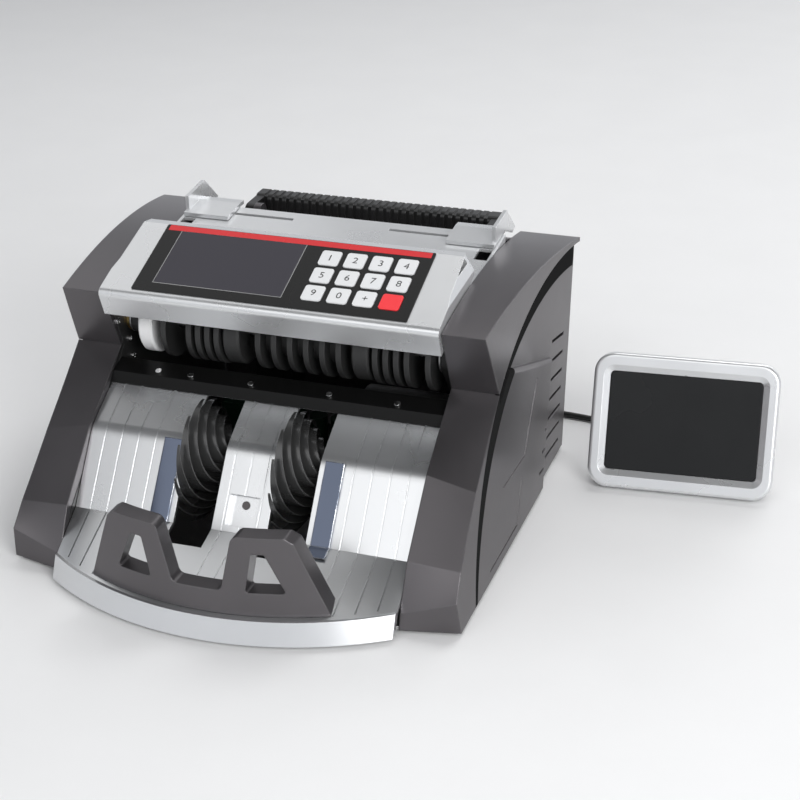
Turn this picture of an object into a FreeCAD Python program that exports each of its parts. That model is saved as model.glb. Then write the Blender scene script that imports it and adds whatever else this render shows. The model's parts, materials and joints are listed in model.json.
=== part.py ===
import FreeCAD, Part
import math
import os
from FreeCAD import Matrix, Vector

# Banknote counting machine with a separate customer display, in millimetres.
# X points right, Y to the rear and Z up. Sizes are drawn from the middle of the machine on the table,
# and the finished pieces are moved so that the front left foot stands on the origin.

# Stance
foot_height = 3.0
foot_radius = 9.0
foot_x = 92.0
foot_front_y = -62.0
foot_rear_y = 122.0
origin_foot = Vector(foot_x, -foot_front_y, 0)

# Core between the steel side frames
core_half = 107.7
seam = 0.3
frame_thick = 2.0
rear_y = 145.0
base_thick = 2.0
cover_thick = 2.2
cover_round = 8.0

# Side shells: front edge seen from the side, at the inner plane and far outside it
shell_foot_half = 142.7
shell_wall = 2.5
wall_lean_front = -0.104
wall_lean_rear = 0.034
shell_far_reach = 9.3
shell_far_x = shell_foot_half + shell_far_reach
shell_inner_front = [
    (-4.0, 109.0), (-17.0, 99.9), (-51.0, 76.0), (-87.0, 39.0), (-101.0, 12.6), (-103.0, foot_height),
]
shell_outer_front = [
    (-4.0, 109.0), (-18.0, 96.6), (-52.0, 66.5), (-86.0, 36.4), (-96.6, 27.0), (-93.6, foot_height),
]
parting_mid = (40.0, 136.5)
parting_rear_z = 151.0
channel_width = 7.0
channel_depth = 3.0
shoulder_brow = (-22.0, 151.5)
shoulder_crown = (60.0, 160.5)
shoulder_rear_z = 154.0
shoulder_wall = 3.0

# Raised pad at the front of the side wall, with two bent grooves
pad_ridge_front = (0.0, 122.0)
pad_ridge_rear = (100.0, 88.0)
pad_foot_y = 84.0
pad_height = 3.5
pad_round = 3.0
pad_groove_width = 1.2
pad_groove_depth = 1.0
pad_grooves = [[(65.0, 90.0), (38.0, 49.0), (-5.0, 49.0)], [(31.0, 37.0), (20.0, 10.0), (-38.0, 10.0)]]

# Side louvres
louvre_count = 7
louvre_width = 2.4
louvre_pitch = 13.0
louvre_top_z = 97.0
louvre_rear_y = 132.0
louvre_top_front_y = 107.0
louvre_front_step = 5.8
louvre_drop = 4.0

# Stacker: tray floor, steep face and upper slope
tray_radius = 187.0
tray_centre_y = 46.0
tray_edge_z = 16.0
tray_flare = 5.0
tray_lip = 4.0
plate_shift = Vector(0, 2.0, -1.5)
face_low = (-78.4, 33.4)
face_high = (-49.1, 74.1)
slope_top = (-20.0, 91.0)
bend_radius = 22.0
groove_width = 0.9
groove_depth = 0.7
outer_grooves = [64.0, 75.3, 86.6, 97.8]
middle_grooves = [-11.0, 0.0, 11.0]
slot_inner_x = 17.5
slot_outer_x = 42.5
slot_front_y = -93.0
slot_bridge = 12.0
strip_width = 12.0
strip_margin = 3.4
strip_thick = 1.2
strip_foot_y = -87.0
sensor_pocket = (19.0, 15.0)
sensor_centre_z = 44.2
sensor_depth = 4.0
sensor_cup_wall = 1.5
sensor_radius = 2.4
sensor_rise = 3.3
sensor_proud = 0.6

# Note stop: towers given by half widths and heights
stop_radius = tray_radius - tray_lip
stop_rounds = [4.0, 5.0, 3.0, 2.0]
stop_window_round = 1.5
stop_thick = 11.0
stop_foot_half = 75.0
stop_shoulder_half = 57.0
stop_shoulder_z = 64.0
stop_top_outer = 52.0
stop_top_inner = 23.0
stop_top_z = 67.5
stop_valley_half = 15.0
stop_valley_z = 32.0
window_top_inner = 33.5
window_top_outer = 41.0
window_top_z = 57.0
window_low_inner = 29.0
window_low_outer = 52.0
window_low_z = 32.0

# Guard plate under the rollers
guard_thick = 1.5
screw_places = [-78.0, -56.0, -16.0, 35.0, 78.0]
guard_front_lean = 3.0
guard_front_height = 6.5
guard_crest_y = 18.9
guard_crest_drop = 20.5
guard_rear_lean = 5.0
screw_place = 0.3
screw_radius = 2.0
screw_height = 1.2

# Console, seen from the side
console_lip_low = (-20.7, 136.6)
console_lip_top = (-26.9, 154.2)
console_ridge = (34.0, 177.5)
console_rear_top = (41.6, 177.3)
console_rear_low = (44.0, 163.0)
console_wall = 3.0
console_lip_round = 4.0
console_rounds = [0.8, console_lip_round, 3.0, 2.0, 0.8]
console_facet_tip = (10.0, 6.0)
console_facet_rear_half = 101.6
console_facet_drop = 12.0

# Keypad overlay, measured up the slope of the console from its own front edge
overlay_half = 87.6
overlay_front_y = -21.9
overlay_length = 59.3
overlay_thick = 0.6
overlay_round = 1.0
window_margin = 11.6
window_key_gap = 12.1
window_front = 7.7
window_length = 46.6
window_round = 0.7
key_size = 12.6
key_round = 1.8
key_columns = 4
key_rows = 3
key_margin = 14.1
key_first_v = 14.0
key_pitch_x = 16.1
key_pitch_v = 15.35
key_block = (key_columns - 1) * key_pitch_x + key_size / 2 + key_margin
window_width = 2 * overlay_half - window_margin - window_key_gap - key_block
key_height = 1.0
key_depth = 0.8
key_travel = 0.6
key_gap = 0.35

# Hopper deck and note guides
deck_front = (44.5, 155.0)
deck_rear = (111.0, 163.6)
deck_thick = 2.0
deck_skirt = 13.0
guide_slot_y = 102.0
guide_slot_width = 3.0
guide_slot_inner = 33.0
guide_travel = 35.0
guide_half = 106.0
guide_ledge_inner = 74.5
guide_ledge_front_y = 91.0
guide_ledge_rear_y = 117.0
guide_ledge_thick = 2.6
guide_fin_thick = 2.4
guide_gap = 0.4
fin_front_y = 94.6
fin_front_z = 174.0
fin_peak = (120.0, 176.6)
fin_rear = (139.0, 159.5)
fin_heel = (133.0, 157.0)
deck_notch_half = 97.0
deck_notch_front_y = 76.0
deck_notch_rear_y = 90.0

# Rear cover and carry handle
cover_top_front = (111.6, 161.0)
cover_top_rear = (136.0, 152.5)
cover_edge_z = 143.0
rear_vent_count = 5
rear_vent_low_z = 78.0
rear_vent_pitch = 9.0
rear_vent_half = 40.0
rear_vent_height = 3.0
handle_pivot = (152.0, 146.0)
handle_half = 88.0
handle_arm_thick = 6.0
handle_arm_height = 11.0
grip_front_y = 166.0
grip_depth = 16.0
grip_height = 14.0
grip_top_z = 153.0
grip_round = 4.0
grip_ribs = 30
rib_depth = 1.2
rib_share = 0.45
lug_thick = 5.0
lug_drop = 6.0
lug_radius = 6.0
pin_radius = 2.5
turning_fit = 0.05

# Shafts
shaft_radius = 4.0
transport_axis = (14.0, 122.0)
feed_axis = (60.0, 140.5)
stacker_axis = (-38.0, 56.0)
motor_axis = (72.0, 40.0)
bearing_radius = 7.0
bearing_flange = 9.0
bearing_flange_thick = 1.6

# Transport rollers: groups of rubber discs by first centre, count and pitch, and two drums
disc_radius = 22.0
disc_width = 3.4
hub_radius = 13.0
disc_starts = [-76.0, -59.0, -13.0, 62.0, 95.0]
disc_counts = [1, 4, 6, 4, 1]
disc_pitches = [0.0, 6.2, 10.4, 6.6, 0.0]
drum_width = 11.0
drum_radius = 21.0
drum_chamfer = 1.2
drum_centres = [-31.5, 52.0]
idler_centre = -89.5
idler_width = 9.5
idler_radius = 20.5

# Feed wheels
feed_radius = 17.6
feed_width = 12.0
feed_centres = [-46.0, 0.0, 46.0]
feed_slot_gap = 1.5
feed_bracket_x = 84.0
bracket_thick = 3.0
bracket_half = 8.0

# Stacker finger wheels
wheel_centre_x = 30.0
wheel_width = 21.0
wheel_radius = 38.5
wheel_hub_radius = 11.0
wheel_tip_width = 1.5
wheel_flank_radius = 15.0
finger_count = 12
finger_thick = 1.2
finger_sweep = 130.0
finger_curl = 1.5
finger_steps = 6

# Belt drive
belt_thick = 1.4
belt_width = 5.0
belt_gap = 0.35
pulley_rim = 1.8
pulley_flange = 1.0
transport_belt_x = 99.0
stacker_belt_x = 89.0
feed_belt_x = -104.4
motor_pulley_radius = 7.0
transport_pulley_radius = 9.0
stacker_pulley_radius = 11.0
feed_drive_radius = 8.0
feed_pulley_radius = 11.0
motor_radius = 24.0
motor_length = 58.0
motor_shaft_radius = 3.0
motor_end_x = 84.0
motor_boss_radius = 9.0
motor_boss_length = 2.5
motor_foot_half = 16.0

# Main board
board_corner = (-86.0, 12.0)
board_size = (104.0, 96.0)
board_thick = 1.6
board_lift = 7.0
board_margin = 8.0
transformer_size = (34.0, 30.0, 26.0)
capacitor_count = 3
capacitor_pitch = 15.0
capacitor_radius = 6.0
capacitor_height = 18.0
socket_count = 5
socket_pitch = 17.0
pin_socket = (12.0, 6.0, 7.0)
chip_size = 24.0
chip_height = 2.4
post_radius = 3.5
post_inset = 6.0

# Mains inlet with the rocker beside it
inlet_x = -62.0
inlet_z = 40.0
inlet_flange = (31.0, 58.0)
inlet_flange_thick = 2.0
inlet_body_depth = 22.0
inlet_body_margin = 2.0
socket_size = (24.0, 16.5)
socket_depth = 17.0
socket_shift = -13.0
rocker_size = (21.0, 14.0)
rocker_shift = 15.0
rocker_throw = 9.0
rocker_proud = 3.0
rocker_gap = 1.1
rocker_axle_radius = 1.2
rocker_axle_depth = 4.0
blade_size = (2.0, 4.0)
blade_spread = 7.0
blade_drop = 1.5
blade_setback = 3.0

# Customer display
display_x = 227.3
display_y = 97.4
display_lift = 4.4
display_yaw = 5.5
display_tilt = 20.0
bezel_width = 118.0
bezel_height = 87.5
bezel_depth = 8.0
bezel_round = 13.0
bezel_edge_round = 2.5
screen_width = 97.0
screen_height = 64.0
screen_round = 3.0
screen_setback = 2.6
lip_spread = 4.0
screen_thick = 1.6
back_inset = 2.5
back_depth = 15.0
back_edge_round = 4.0
stand_width = 64.0
stand_depth = 40.0
gland_depth = 24.80
stand_height = 46.0
stand_reach = 30.0
gland_x = -8.0
gland_z = 9.0
gland_radius = 4.2
gland_length = 12.0

# Display cord
cord_diameter = 4.2
sleeve_wall = 0.4
plug_x = 70.0
plug_z = 32.0
plug_radius = 5.2
plug_length = 20.0
plug_grip = 12.0
jack_radius = 4.0
coil_centre = (10.0, 205.0)
coil_outer = 31.0
coil_pitch = 5.0
coil_quarters = 18
coil_layer = 5.0
table_lift = 0.1
cord_straight = 15.0
cord_z = cord_diameter / 2 + table_lift
lead_points = [
    (plug_x, 165.0, plug_z), (plug_x, 181.0, plug_z), (69.5, 197.0, 26.0), (69.0, 210.0, 16.0),
    (65.5, 222.0, 7.5), (55.0, 231.5, 3.2),
]
run_points = [
    (53.0, 177.5, 4.2), (78.0, 183.5, cord_z), (104.0, 191.0, cord_z),
    (130.0, 192.5, cord_z), (153.0, 189.5, cord_z), (176.0, 189.5, cord_z), (195.0, 184.0, 3.4),
    (207.5, 171.5, 6.6),
]

shell_in = core_half + seam


def wire_face(points):
    """Flat face inside a closed run of straight edges."""
    return Part.Face(Part.makePolygon(points + points[:1]))


def prism_x(outline, x0, x1):
    """Solid with a side outline of (y, z) points, from x0 to x1."""
    return wire_face([Vector(x0, y, z) for y, z in outline]).extrude(Vector(x1 - x0, 0, 0))


def block(low, high):
    """Upright block between two opposite corners."""
    size = [b - a for a, b in zip(low, high)]
    return Part.makeBox(size[0], size[1], size[2], Vector(*low))


def rod_x(axis, radius, x0, x1):
    """Round bar along X about an axis given by its (y, z)."""
    return Part.makeCylinder(radius, x1 - x0, Vector(x0, axis[0], axis[1]), Vector(1, 0, 0))


def spun_x(outline, axis):
    """Turned solid about X from an outline of (x, radius) points."""
    face = wire_face([Vector(x, axis[0], axis[1] + r) for x, r in outline])
    return face.revolve(Vector(0, axis[0], axis[1]), Vector(1, 0, 0), 360)


def mirrored(shape):
    """The same piece on the left side."""
    return shape.mirror(Vector(0, 0, 0), Vector(1, 0, 0))


def fused(shapes):
    """One clean solid from shapes that touch."""
    return shapes[0].multiFuse(shapes[1:]).removeSplitter()


def inset(outline, depth):
    """Closed outline of (a, b) points moved inwards by a depth."""
    area = sum(p[0] * q[1] - q[0] * p[1] for p, q in zip(outline, outline[1:] + outline[:1]))
    side = 1.0 if area > 0 else -1.0
    lines = []
    for p, q in zip(outline, outline[1:] + outline[:1]):
        length = math.hypot(q[0] - p[0], q[1] - p[1])
        along = ((q[0] - p[0]) / length, (q[1] - p[1]) / length)
        inward = (-along[1] * side * depth, along[0] * side * depth)
        lines.append(((p[0] + inward[0], p[1] + inward[1]), along))
    points = []
    for (p, a), (q, b) in zip(lines[-1:] + lines[:-1], lines):
        cross = a[0] * b[1] - a[1] * b[0]
        reach = ((q[0] - p[0]) * b[1] - (q[1] - p[1]) * b[0]) / cross
        points.append((p[0] + a[0] * reach, p[1] + a[1] * reach))
    return points


def rounded_wire(points, radii, closed=True):
    """Straight runs joined by tangent arcs, with one radius for each point."""
    corners = []
    for i, (point, radius) in enumerate(zip(points, radii)):
        if radius == 0:
            corners.append((point, None, point))
            continue
        before = (points[i - 1] - point).normalize()
        after = (points[(i + 1) % len(points)] - point).normalize()
        half = math.acos(max(-1.0, min(1.0, before.dot(after)))) / 2
        setback = radius / math.tan(half)
        inward = (before + after).normalize()
        middle = point + inward * (radius / math.sin(half) - radius)
        corners.append((point + before * setback, middle, point + after * setback))
    edges = []
    for i, (start, middle, end) in enumerate(corners):
        if middle is not None:
            edges.append(Part.Arc(start, middle, end).toShape())
        if closed or i + 1 < len(corners):
            following = corners[(i + 1) % len(corners)][0]
            if end.distanceToPoint(following) > 1e-6:
                edges.append(Part.LineSegment(end, following).toShape())
    return Part.Wire(edges)


def rounded_plate(width, height, radius, x, z, y0, y1):
    """Upright plate with round corners, centred on x and z, from y0 to y1."""
    half_w = width / 2
    half_h = height / 2
    corners = [(-half_w, -half_h), (half_w, -half_h), (half_w, half_h), (-half_w, half_h)]
    wire = rounded_wire([Vector(x + a, y0, z + b) for a, b in corners], [radius] * len(corners))
    return Part.Face(wire).extrude(Vector(0, y1 - y0, 0))


def side_outline(front, x):
    """Side outline of a lower shell at one x, closed by the arched parting line."""
    points = [Vector(x, y, z) for y, z in front]
    points += [Vector(x, rear_y, foot_height), Vector(x, rear_y, parting_rear_z)]
    edges = [Part.LineSegment(a, b).toShape() for a, b in zip(points, points[1:])]
    edges.append(Part.Arc(points[-1], Vector(x, *parting_mid), points[0]).toShape())
    return Part.Wire(edges)


def wall_block(depth):
    """Space inside the leaning outer wall of the right side, drawn in by a depth."""
    front_y = shell_inner_front[-1][0] - shell_wall * 4
    back_y = rear_y + shell_wall
    top_z = shoulder_crown[1] + shell_wall
    sections = []
    for y, lean in ((front_y, wall_lean_front), (back_y, wall_lean_rear)):
        foot = shell_foot_half - depth
        top = foot + lean * (top_z - foot_height)
        low = core_half - shell_wall
        corners = [(low, 0), (foot - lean * foot_height, 0), (top, top_z), (low, top_z)]
        sections.append(Part.makePolygon([Vector(x, y, z) for x, z in corners + corners[:1]]))
    return Part.makeLoft(sections, True, True)


def cavity_front():
    """Front edge of a lower shell, kept behind both its inner and its outer line."""
    edge = []
    for inner, outer in zip(shell_inner_front, shell_outer_front):
        edge.append((max(inner[0], outer[0]), min(inner[1], outer[1])))
    return edge


def cavity_outline():
    """Side outline of the room inside a lower shell."""
    low = cavity_front()
    low[0] = (low[0][0], low[0][1] - channel_width)
    low += [(rear_y, foot_height), (rear_y, parting_rear_z - channel_width)]
    low.append((parting_mid[0], parting_mid[1] - channel_width))
    return inset(low, shell_wall)


def parting_band(x0, x1, upper, lower):
    """Strip along the parting arc, between two heights measured from it."""
    ends = [(rear_y + seam, parting_rear_z), parting_mid, shell_outer_front[0]]
    arcs = []
    for lift in (upper, lower):
        a, m, b = [Vector(x0, y, z + lift) for y, z in ends]
        arcs.append(Part.Arc(a, m, b).toShape())
    joins = [Part.LineSegment(arcs[0].Vertexes[i].Point, arcs[1].Vertexes[i].Point).toShape() for i in (0, 1)]
    wire = Part.Wire(Part.__sortEdges__(arcs + joins))
    return Part.Face(wire).extrude(Vector(x1 - x0, 0, 0))


def louvres():
    """Cutters for the sloping slots at the rear of the side wall."""
    cutters = []
    for i in range(louvre_count):
        z = louvre_top_z - louvre_pitch * i
        y = louvre_top_front_y - louvre_front_step * i
        outline = [(y, z), (louvre_rear_y, z - louvre_drop), (louvre_rear_y, z - louvre_drop - louvre_width),
                   (y, z - louvre_width)]
        cutters.append(prism_x(outline, shell_foot_half - shell_wall * 4, shell_far_x))
    return cutters


def pad_recess():
    """Space cut from the side wall above and behind the raised pad."""
    high = shoulder_crown[1]
    behind = rear_y + shell_wall
    outline = [(pad_foot_y, 0), pad_ridge_rear, pad_ridge_front, (shell_inner_front[-1][0], high), (behind, high),
               (behind, 0)]
    return prism_x(outline, core_half, shell_far_x).cut(wall_block(pad_height))


def pad_groove_cutters():
    """Cutters for the bent grooves on the pad."""
    skin = wall_block(pad_groove_depth)
    cutters = []
    for line in pad_grooves:
        lower = [(y + pad_groove_width, z - pad_groove_width) for y, z in reversed(line)]
        cutters.append(prism_x(line + lower, core_half, shell_far_x).cut(skin))
    return cutters


def softened_pad(body):
    """Body with the pad's ridge and rear edge rounded."""
    ridge = []
    rear = []
    for edge in body.Edges:
        ends = [v.Point for v in edge.Vertexes]
        if abs(ends[0].z - ends[-1].z) < pad_height:
            continue
        if all(abs(pad_line_y(p.z) - p.y) < seam for p in ends):
            rear.append(edge)
        if all(abs(pad_ridge_z(p.y) - p.z) < seam for p in ends):
            ridge.append(edge)
    outer = [max(group, key=lambda edge: edge.CenterOfMass.x) for group in (ridge, rear)]
    return body.makeFillet(pad_round, outer)


def pad_line_y(z):
    """Y of the pad's rear edge at one height."""
    return pad_foot_y + (pad_ridge_rear[0] - pad_foot_y) * z / pad_ridge_rear[1]


def pad_ridge_z(y):
    """Height of the pad's ridge at one y."""
    share = (y - pad_ridge_front[0]) / (pad_ridge_rear[0] - pad_ridge_front[0])
    return pad_ridge_front[1] + share * (pad_ridge_rear[1] - pad_ridge_front[1])


def lower_shell():
    """Hollow side moulding, open towards the steel frame."""
    wires = [side_outline(shell_inner_front, shell_in), side_outline(shell_outer_front, shell_far_x)]
    body = Part.makeLoft(wires, True, True).common(wall_block(0)).cut(pad_recess())
    body = softened_pad(body)
    room = prism_x(cavity_outline(), core_half, shell_far_x).common(wall_block(shell_wall + pad_height))
    band = parting_band(shell_in, shell_far_x, channel_width, -channel_width)
    channel = band.cut(wall_block(channel_depth))
    body = body.cut([room, channel, frame_room()] + louvres())
    for groove in pad_groove_cutters():
        body = body.cut(groove)
    return body


def shoulder_cover():
    """Crescent cover above the parting line, open underneath."""
    lower = [(y, z + seam) for y, z in ((rear_y, parting_rear_z), parting_mid, shell_outer_front[0])]
    rear_low, mid, front_low = [Vector(shell_in, y, z) for y, z in lower]
    brow = Vector(shell_in, *shoulder_brow)
    rear_top = Vector(shell_in, rear_y, shoulder_rear_z)
    edges = [
        Part.LineSegment(front_low, brow).toShape(),
        Part.Arc(brow, Vector(shell_in, *shoulder_crown), rear_top).toShape(),
        Part.LineSegment(rear_top, rear_low).toShape(),
        Part.Arc(rear_low, mid, front_low).toShape(),
    ]
    crescent = Part.Face(Part.Wire(edges)).extrude(Vector(shell_far_x - shell_in, 0, 0))
    body = crescent.common(wall_block(0))
    hollow = inset([shoulder_brow, shoulder_crown, (rear_y, shoulder_rear_z), (rear_y, parting_mid[1]),
                    (parting_mid[0], shell_outer_front[0][1]), shell_outer_front[0]], shoulder_wall)
    room = prism_x(hollow, shell_in + frame_thick, shell_far_x).common(wall_block(shoulder_wall))
    return body.cut([room, frame_room()])


def frame_outline():
    """Side outline of a steel frame, up into the shoulder cover."""
    low = cavity_front()
    low += [(rear_y, foot_height), (rear_y, shoulder_rear_z), shoulder_crown]
    low.append((shoulder_brow[0] + shoulder_wall, shoulder_brow[1]))
    return inset(low, shoulder_wall)


def frame_room():
    """Slot that a steel frame takes in the mouths of the right shell and shoulder."""
    return prism_x(frame_outline(), core_half, shell_in + frame_thick + seam)


def side_frame():
    """Steel plate in the mouths of the right shell and shoulder, bored for the bearings."""
    plate = prism_x(inset(frame_outline(), seam), shell_in, shell_in + frame_thick)
    bores = [rod_x(axis, bearing_radius + turning_fit, core_half, shell_in + frame_thick * 2)
             for axis in (transport_axis, stacker_axis)]
    return plate.cut(bores)


def tray_y(x, radius):
    """Front edge of a curved tray at one x."""
    return tray_centre_y - math.sqrt(radius ** 2 - x ** 2)


def arc_edge(radius, z, half):
    """Edge of the curved front, from right to left."""
    points = [Vector(x, tray_y(x, radius), z) for x in (half, 0, -half)]
    return Part.Arc(*points).toShape()


def base_plate():
    """Flat bottom sheet with the posts for the main board."""
    front = arc_edge(tray_radius - tray_lip - seam, foot_height, core_half)
    ends = [v.Point for v in front.Vertexes]
    back = rear_y - cover_thick - seam
    corners = [ends[1], Vector(-core_half, back, foot_height), Vector(core_half, back, foot_height), ends[0]]
    edges = [Part.LineSegment(a, b).toShape() for a, b in zip(corners, corners[1:])]
    sheet = Part.Face(Part.Wire([front] + edges)).extrude(Vector(0, 0, base_thick))
    posts = []
    for x in (post_inset, board_size[0] - post_inset):
        for y in (post_inset, board_size[1] - post_inset):
            foot = Vector(board_corner[0] + x, board_corner[1] + y, foot_height)
            posts.append(Part.makeCylinder(post_radius, base_thick + board_lift, foot))
    return fused([sheet] + posts)


def rubber_feet():
    """Four tapered feet."""
    feet = []
    for x in (-foot_x, foot_x):
        for y in (foot_front_y, foot_rear_y):
            feet.append(Part.makeCone(foot_radius - 1.0, foot_radius, foot_height, Vector(x, y, 0)))
    return Part.makeCompound(feet)


def front_tray():
    """Tray floor ruled from the straight bend to the curved edge, with its flared front band."""
    half = core_half
    edge_radius = tray_radius - tray_lip / 2
    rear = Part.LineSegment(Vector(half, *face_low), Vector(-half, *face_low)).toShape()
    floor = Part.makeRuledSurface(rear, arc_edge(edge_radius, tray_edge_z, half)).extrude(plate_shift)
    section = [
        (tray_radius, tray_edge_z), (tray_radius + tray_flare, foot_height),
        (tray_radius + tray_flare - tray_lip, foot_height), (tray_radius - tray_lip, tray_edge_z),
    ]
    ring = wire_face([Vector(0, tray_centre_y - r, z) for r, z in section])
    band = ring.revolve(Vector(0, tray_centre_y, 0), Vector(0, 0, 1), 180)
    band.rotate(Vector(0, tray_centre_y, 0), Vector(0, 0, 1), -90)
    reach = tray_radius + tray_flare
    keep = block((-half, -reach, 0), (half, face_low[0], reach))
    slots = [block((s * wheel_centre_x - slot_half(), slot_front_y, foot_height),
                   (s * wheel_centre_x + slot_half(), 0, tray_edge_z * 3)) for s in (-1, 1)]
    return fused([floor, band.common(keep)]).cut(slots + floor_grooves())


def slot_half():
    """Half width of a wheel slot."""
    return (slot_outer_x - slot_inner_x) / 2


def groove_places():
    """X of every fine groove in the stacker."""
    return [-x for x in outer_grooves] + middle_grooves + outer_grooves


def floor_grooves():
    """Cutters for the fine grooves that run down the tray floor."""
    cutters = []
    for x in groove_places():
        tip = (tray_y(x, tray_radius - tray_lip), tray_edge_z)
        outline = [(tip[0], tip[1] + 4 * groove_depth), (face_low[0], face_low[1] + 4 * groove_depth),
                   (face_low[0], face_low[1] - groove_depth), (tip[0], tip[1] - groove_depth)]
        cutters.append(prism_x(outline, x - groove_width / 2, x + groove_width / 2))
    return cutters


def stacker_line(lift):
    """Side line of the stacker plate, from the floor bend to its top, raised square to the face."""
    rise = Vector(0, -plate_shift.y, -plate_shift.z).normalize() * lift
    return [(y + rise.y, z + rise.z) for y, z in (face_low, face_high, slope_top)]


def bent_strip(line, radius, shift, x0, x1):
    """Bent sheet between two x, from a line of three (y, z) points with a round bend."""
    upper = [Vector(x0, y, z) for y, z in line]
    lower = [p + shift for p in reversed(upper)]
    wire = rounded_wire(upper + lower, [0, radius, 0, 0, radius, 0])
    return Part.Face(wire).extrude(Vector(x1 - x0, 0, 0))


def stacker_plate():
    """Steep stacker face, upper slope and hidden flange, slotted for the wheels and finely grooved."""
    sheet = bent_strip(stacker_line(0), bend_radius, plate_shift, -core_half, core_half)
    back, top = slope_top
    flange = prism_x([(back, top), (back + slot_bridge, top), (back + slot_bridge, top + plate_shift.z),
                      (back + plate_shift.y, top + plate_shift.z)], -core_half, core_half)
    slot_end = back + plate_shift.y + seam
    slots = [block((s * wheel_centre_x - slot_half(), -tray_radius, 0),
                   (s * wheel_centre_x + slot_half(), slot_end, top + 1)) for s in (-1, 1)]
    bite = Vector(plate_shift).normalize() * groove_depth
    grooves = [bent_strip(stacker_line(0.2), bend_radius, bite, x - groove_width / 2, x + groove_width / 2)
               for x in groove_places()]
    lens_hole = sensor_rod(sensor_radius + seam / 3, 0, 2 * sensor_depth)
    pocket = sensor_box(0, -sensor_depth, sensor_depth)
    cup = sensor_box(sensor_cup_wall, plate_shift.Length / 2, sensor_depth + sensor_cup_wall)
    return fused([sheet, flange, cup]).cut(slots + grooves + [pocket, lens_hole])


def sensor_box(margin, start, end):
    """Box square to the steep face round the sensor, between two depths behind the face."""
    inward = Vector(plate_shift).normalize()
    half = sensor_pocket[1] / 2 + margin
    across = sensor_pocket[0] / 2 + margin
    low = Vector(0, face_y(sensor_centre_z - half), sensor_centre_z - half)
    high = Vector(0, face_y(sensor_centre_z + half), sensor_centre_z + half)
    corners = [low + inward * start, low + inward * end, high + inward * end, high + inward * start]
    return prism_x([(p.y, p.z) for p in corners], -across, across)


def sensor_rod(radius, start, end):
    """Bar square to the steep face at the sensor's lens, between two depths behind the face."""
    inward = Vector(plate_shift).normalize()
    z = sensor_centre_z + sensor_rise
    return Part.makeCylinder(radius, end - start, Vector(0, face_y(z), z) + inward * start, inward)


def sensor_lens():
    """Round lens of the sensor that looks at the stacked notes, set in the floor of its pocket."""
    return sensor_rod(sensor_radius, sensor_depth - sensor_proud, sensor_depth + sensor_cup_wall)


def face_y(z):
    """Y of the steep stacker face at one height."""
    share = (z - face_low[1]) / (face_high[1] - face_low[1])
    return face_low[0] + share * (face_high[0] - face_low[0])


def mirror_strips():
    """Two bright strips beside the wheel slots, bent from the face on to the tray floor."""
    out = stacker_line(seam / 3)
    edge_radius = tray_radius - tray_lip / 2
    share = (strip_foot_y - face_low[0]) / (tray_y(slot_outer_x, edge_radius) - face_low[0])
    foot = (strip_foot_y, face_low[1] + share * (tray_edge_z - face_low[1]) + seam)
    rise = Vector(0, -plate_shift.y, -plate_shift.z).normalize() * strip_thick
    line = [foot, out[0], out[1]]
    upper = [Vector(0, y, z) for y, z in line]
    lower = [p + rise for p in reversed(upper)]
    strips = []
    for x in (slot_outer_x + strip_margin, -slot_outer_x - strip_margin - strip_width):
        face = wire_face([p + Vector(x, 0, 0) for p in upper + lower])
        strips.append(face.extrude(Vector(strip_width, 0, 0)))
    return Part.makeCompound(strips)


def note_stop():
    """Curved front stop with two open towers."""
    right = [
        (stop_valley_half, stop_valley_z), (stop_top_inner, stop_top_z), (stop_top_outer, stop_top_z),
        (stop_shoulder_half, stop_shoulder_z), (stop_foot_half, tray_edge_z + seam),
    ]
    left = [(-x, z) for x, z in reversed(right)]
    outline = [Vector(x, -tray_radius, z) for x, z in right + left]
    rounds = stop_rounds + [0, 0] + stop_rounds[::-1]
    body = Part.Face(rounded_wire(outline, rounds)).extrude(Vector(0, tray_radius, 0))
    cylinder = Part.makeCylinder(stop_radius, stop_top_z * 2, Vector(0, tray_centre_y, 0))
    core = Part.makeCylinder(stop_radius - stop_thick, stop_top_z * 2, Vector(0, tray_centre_y, 0))
    windows = []
    for s in (-1, 1):
        corners = [(s * window_low_inner, window_low_z), (s * window_low_outer, window_low_z),
                   (s * window_top_outer, window_top_z), (s * window_top_inner, window_top_z)]
        wire = rounded_wire([Vector(x, -tray_radius, z) for x, z in corners], [stop_window_round] * 4)
        windows.append(Part.Face(wire).extrude(Vector(0, tray_radius, 0)))
    return body.common(cylinder).cut([core, floor_room()] + windows)


def floor_room():
    """Room taken by the tray floor under the note stop, with a seam above it."""
    half = core_half
    edge_radius = tray_radius - tray_lip / 2
    lift = tray_edge_z + seam
    rear = Part.LineSegment(Vector(half, face_low[0], face_low[1] + seam),
                            Vector(-half, face_low[0], face_low[1] + seam)).toShape()
    return Part.makeRuledSurface(rear, arc_edge(edge_radius, lift, half)).extrude(Vector(0, 0, -lift))


def guard_line():
    """Side line of the guard plate: front foot, front edge, crest and rear foot."""
    foot = (slope_top[0] - 2 * seam, slope_top[1] + seam)
    edge = (foot[0] + guard_front_lean, foot[1] + guard_front_height)
    crest = (transport_axis[0] - guard_crest_y, transport_axis[1] - guard_crest_drop)
    return [foot, edge, crest, (crest[0] + guard_rear_lean, foot[1])]


def roller_guard():
    """Black folded sheet below the rollers."""
    line = guard_line()
    room = inset(line, guard_thick)
    for end in (0, 3):
        room[end] = (room[end][0], room[end][1] - 2 * guard_thick)
    return prism_x(line, -core_half, core_half).cut(prism_x(room, -shell_in, shell_in))


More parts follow.
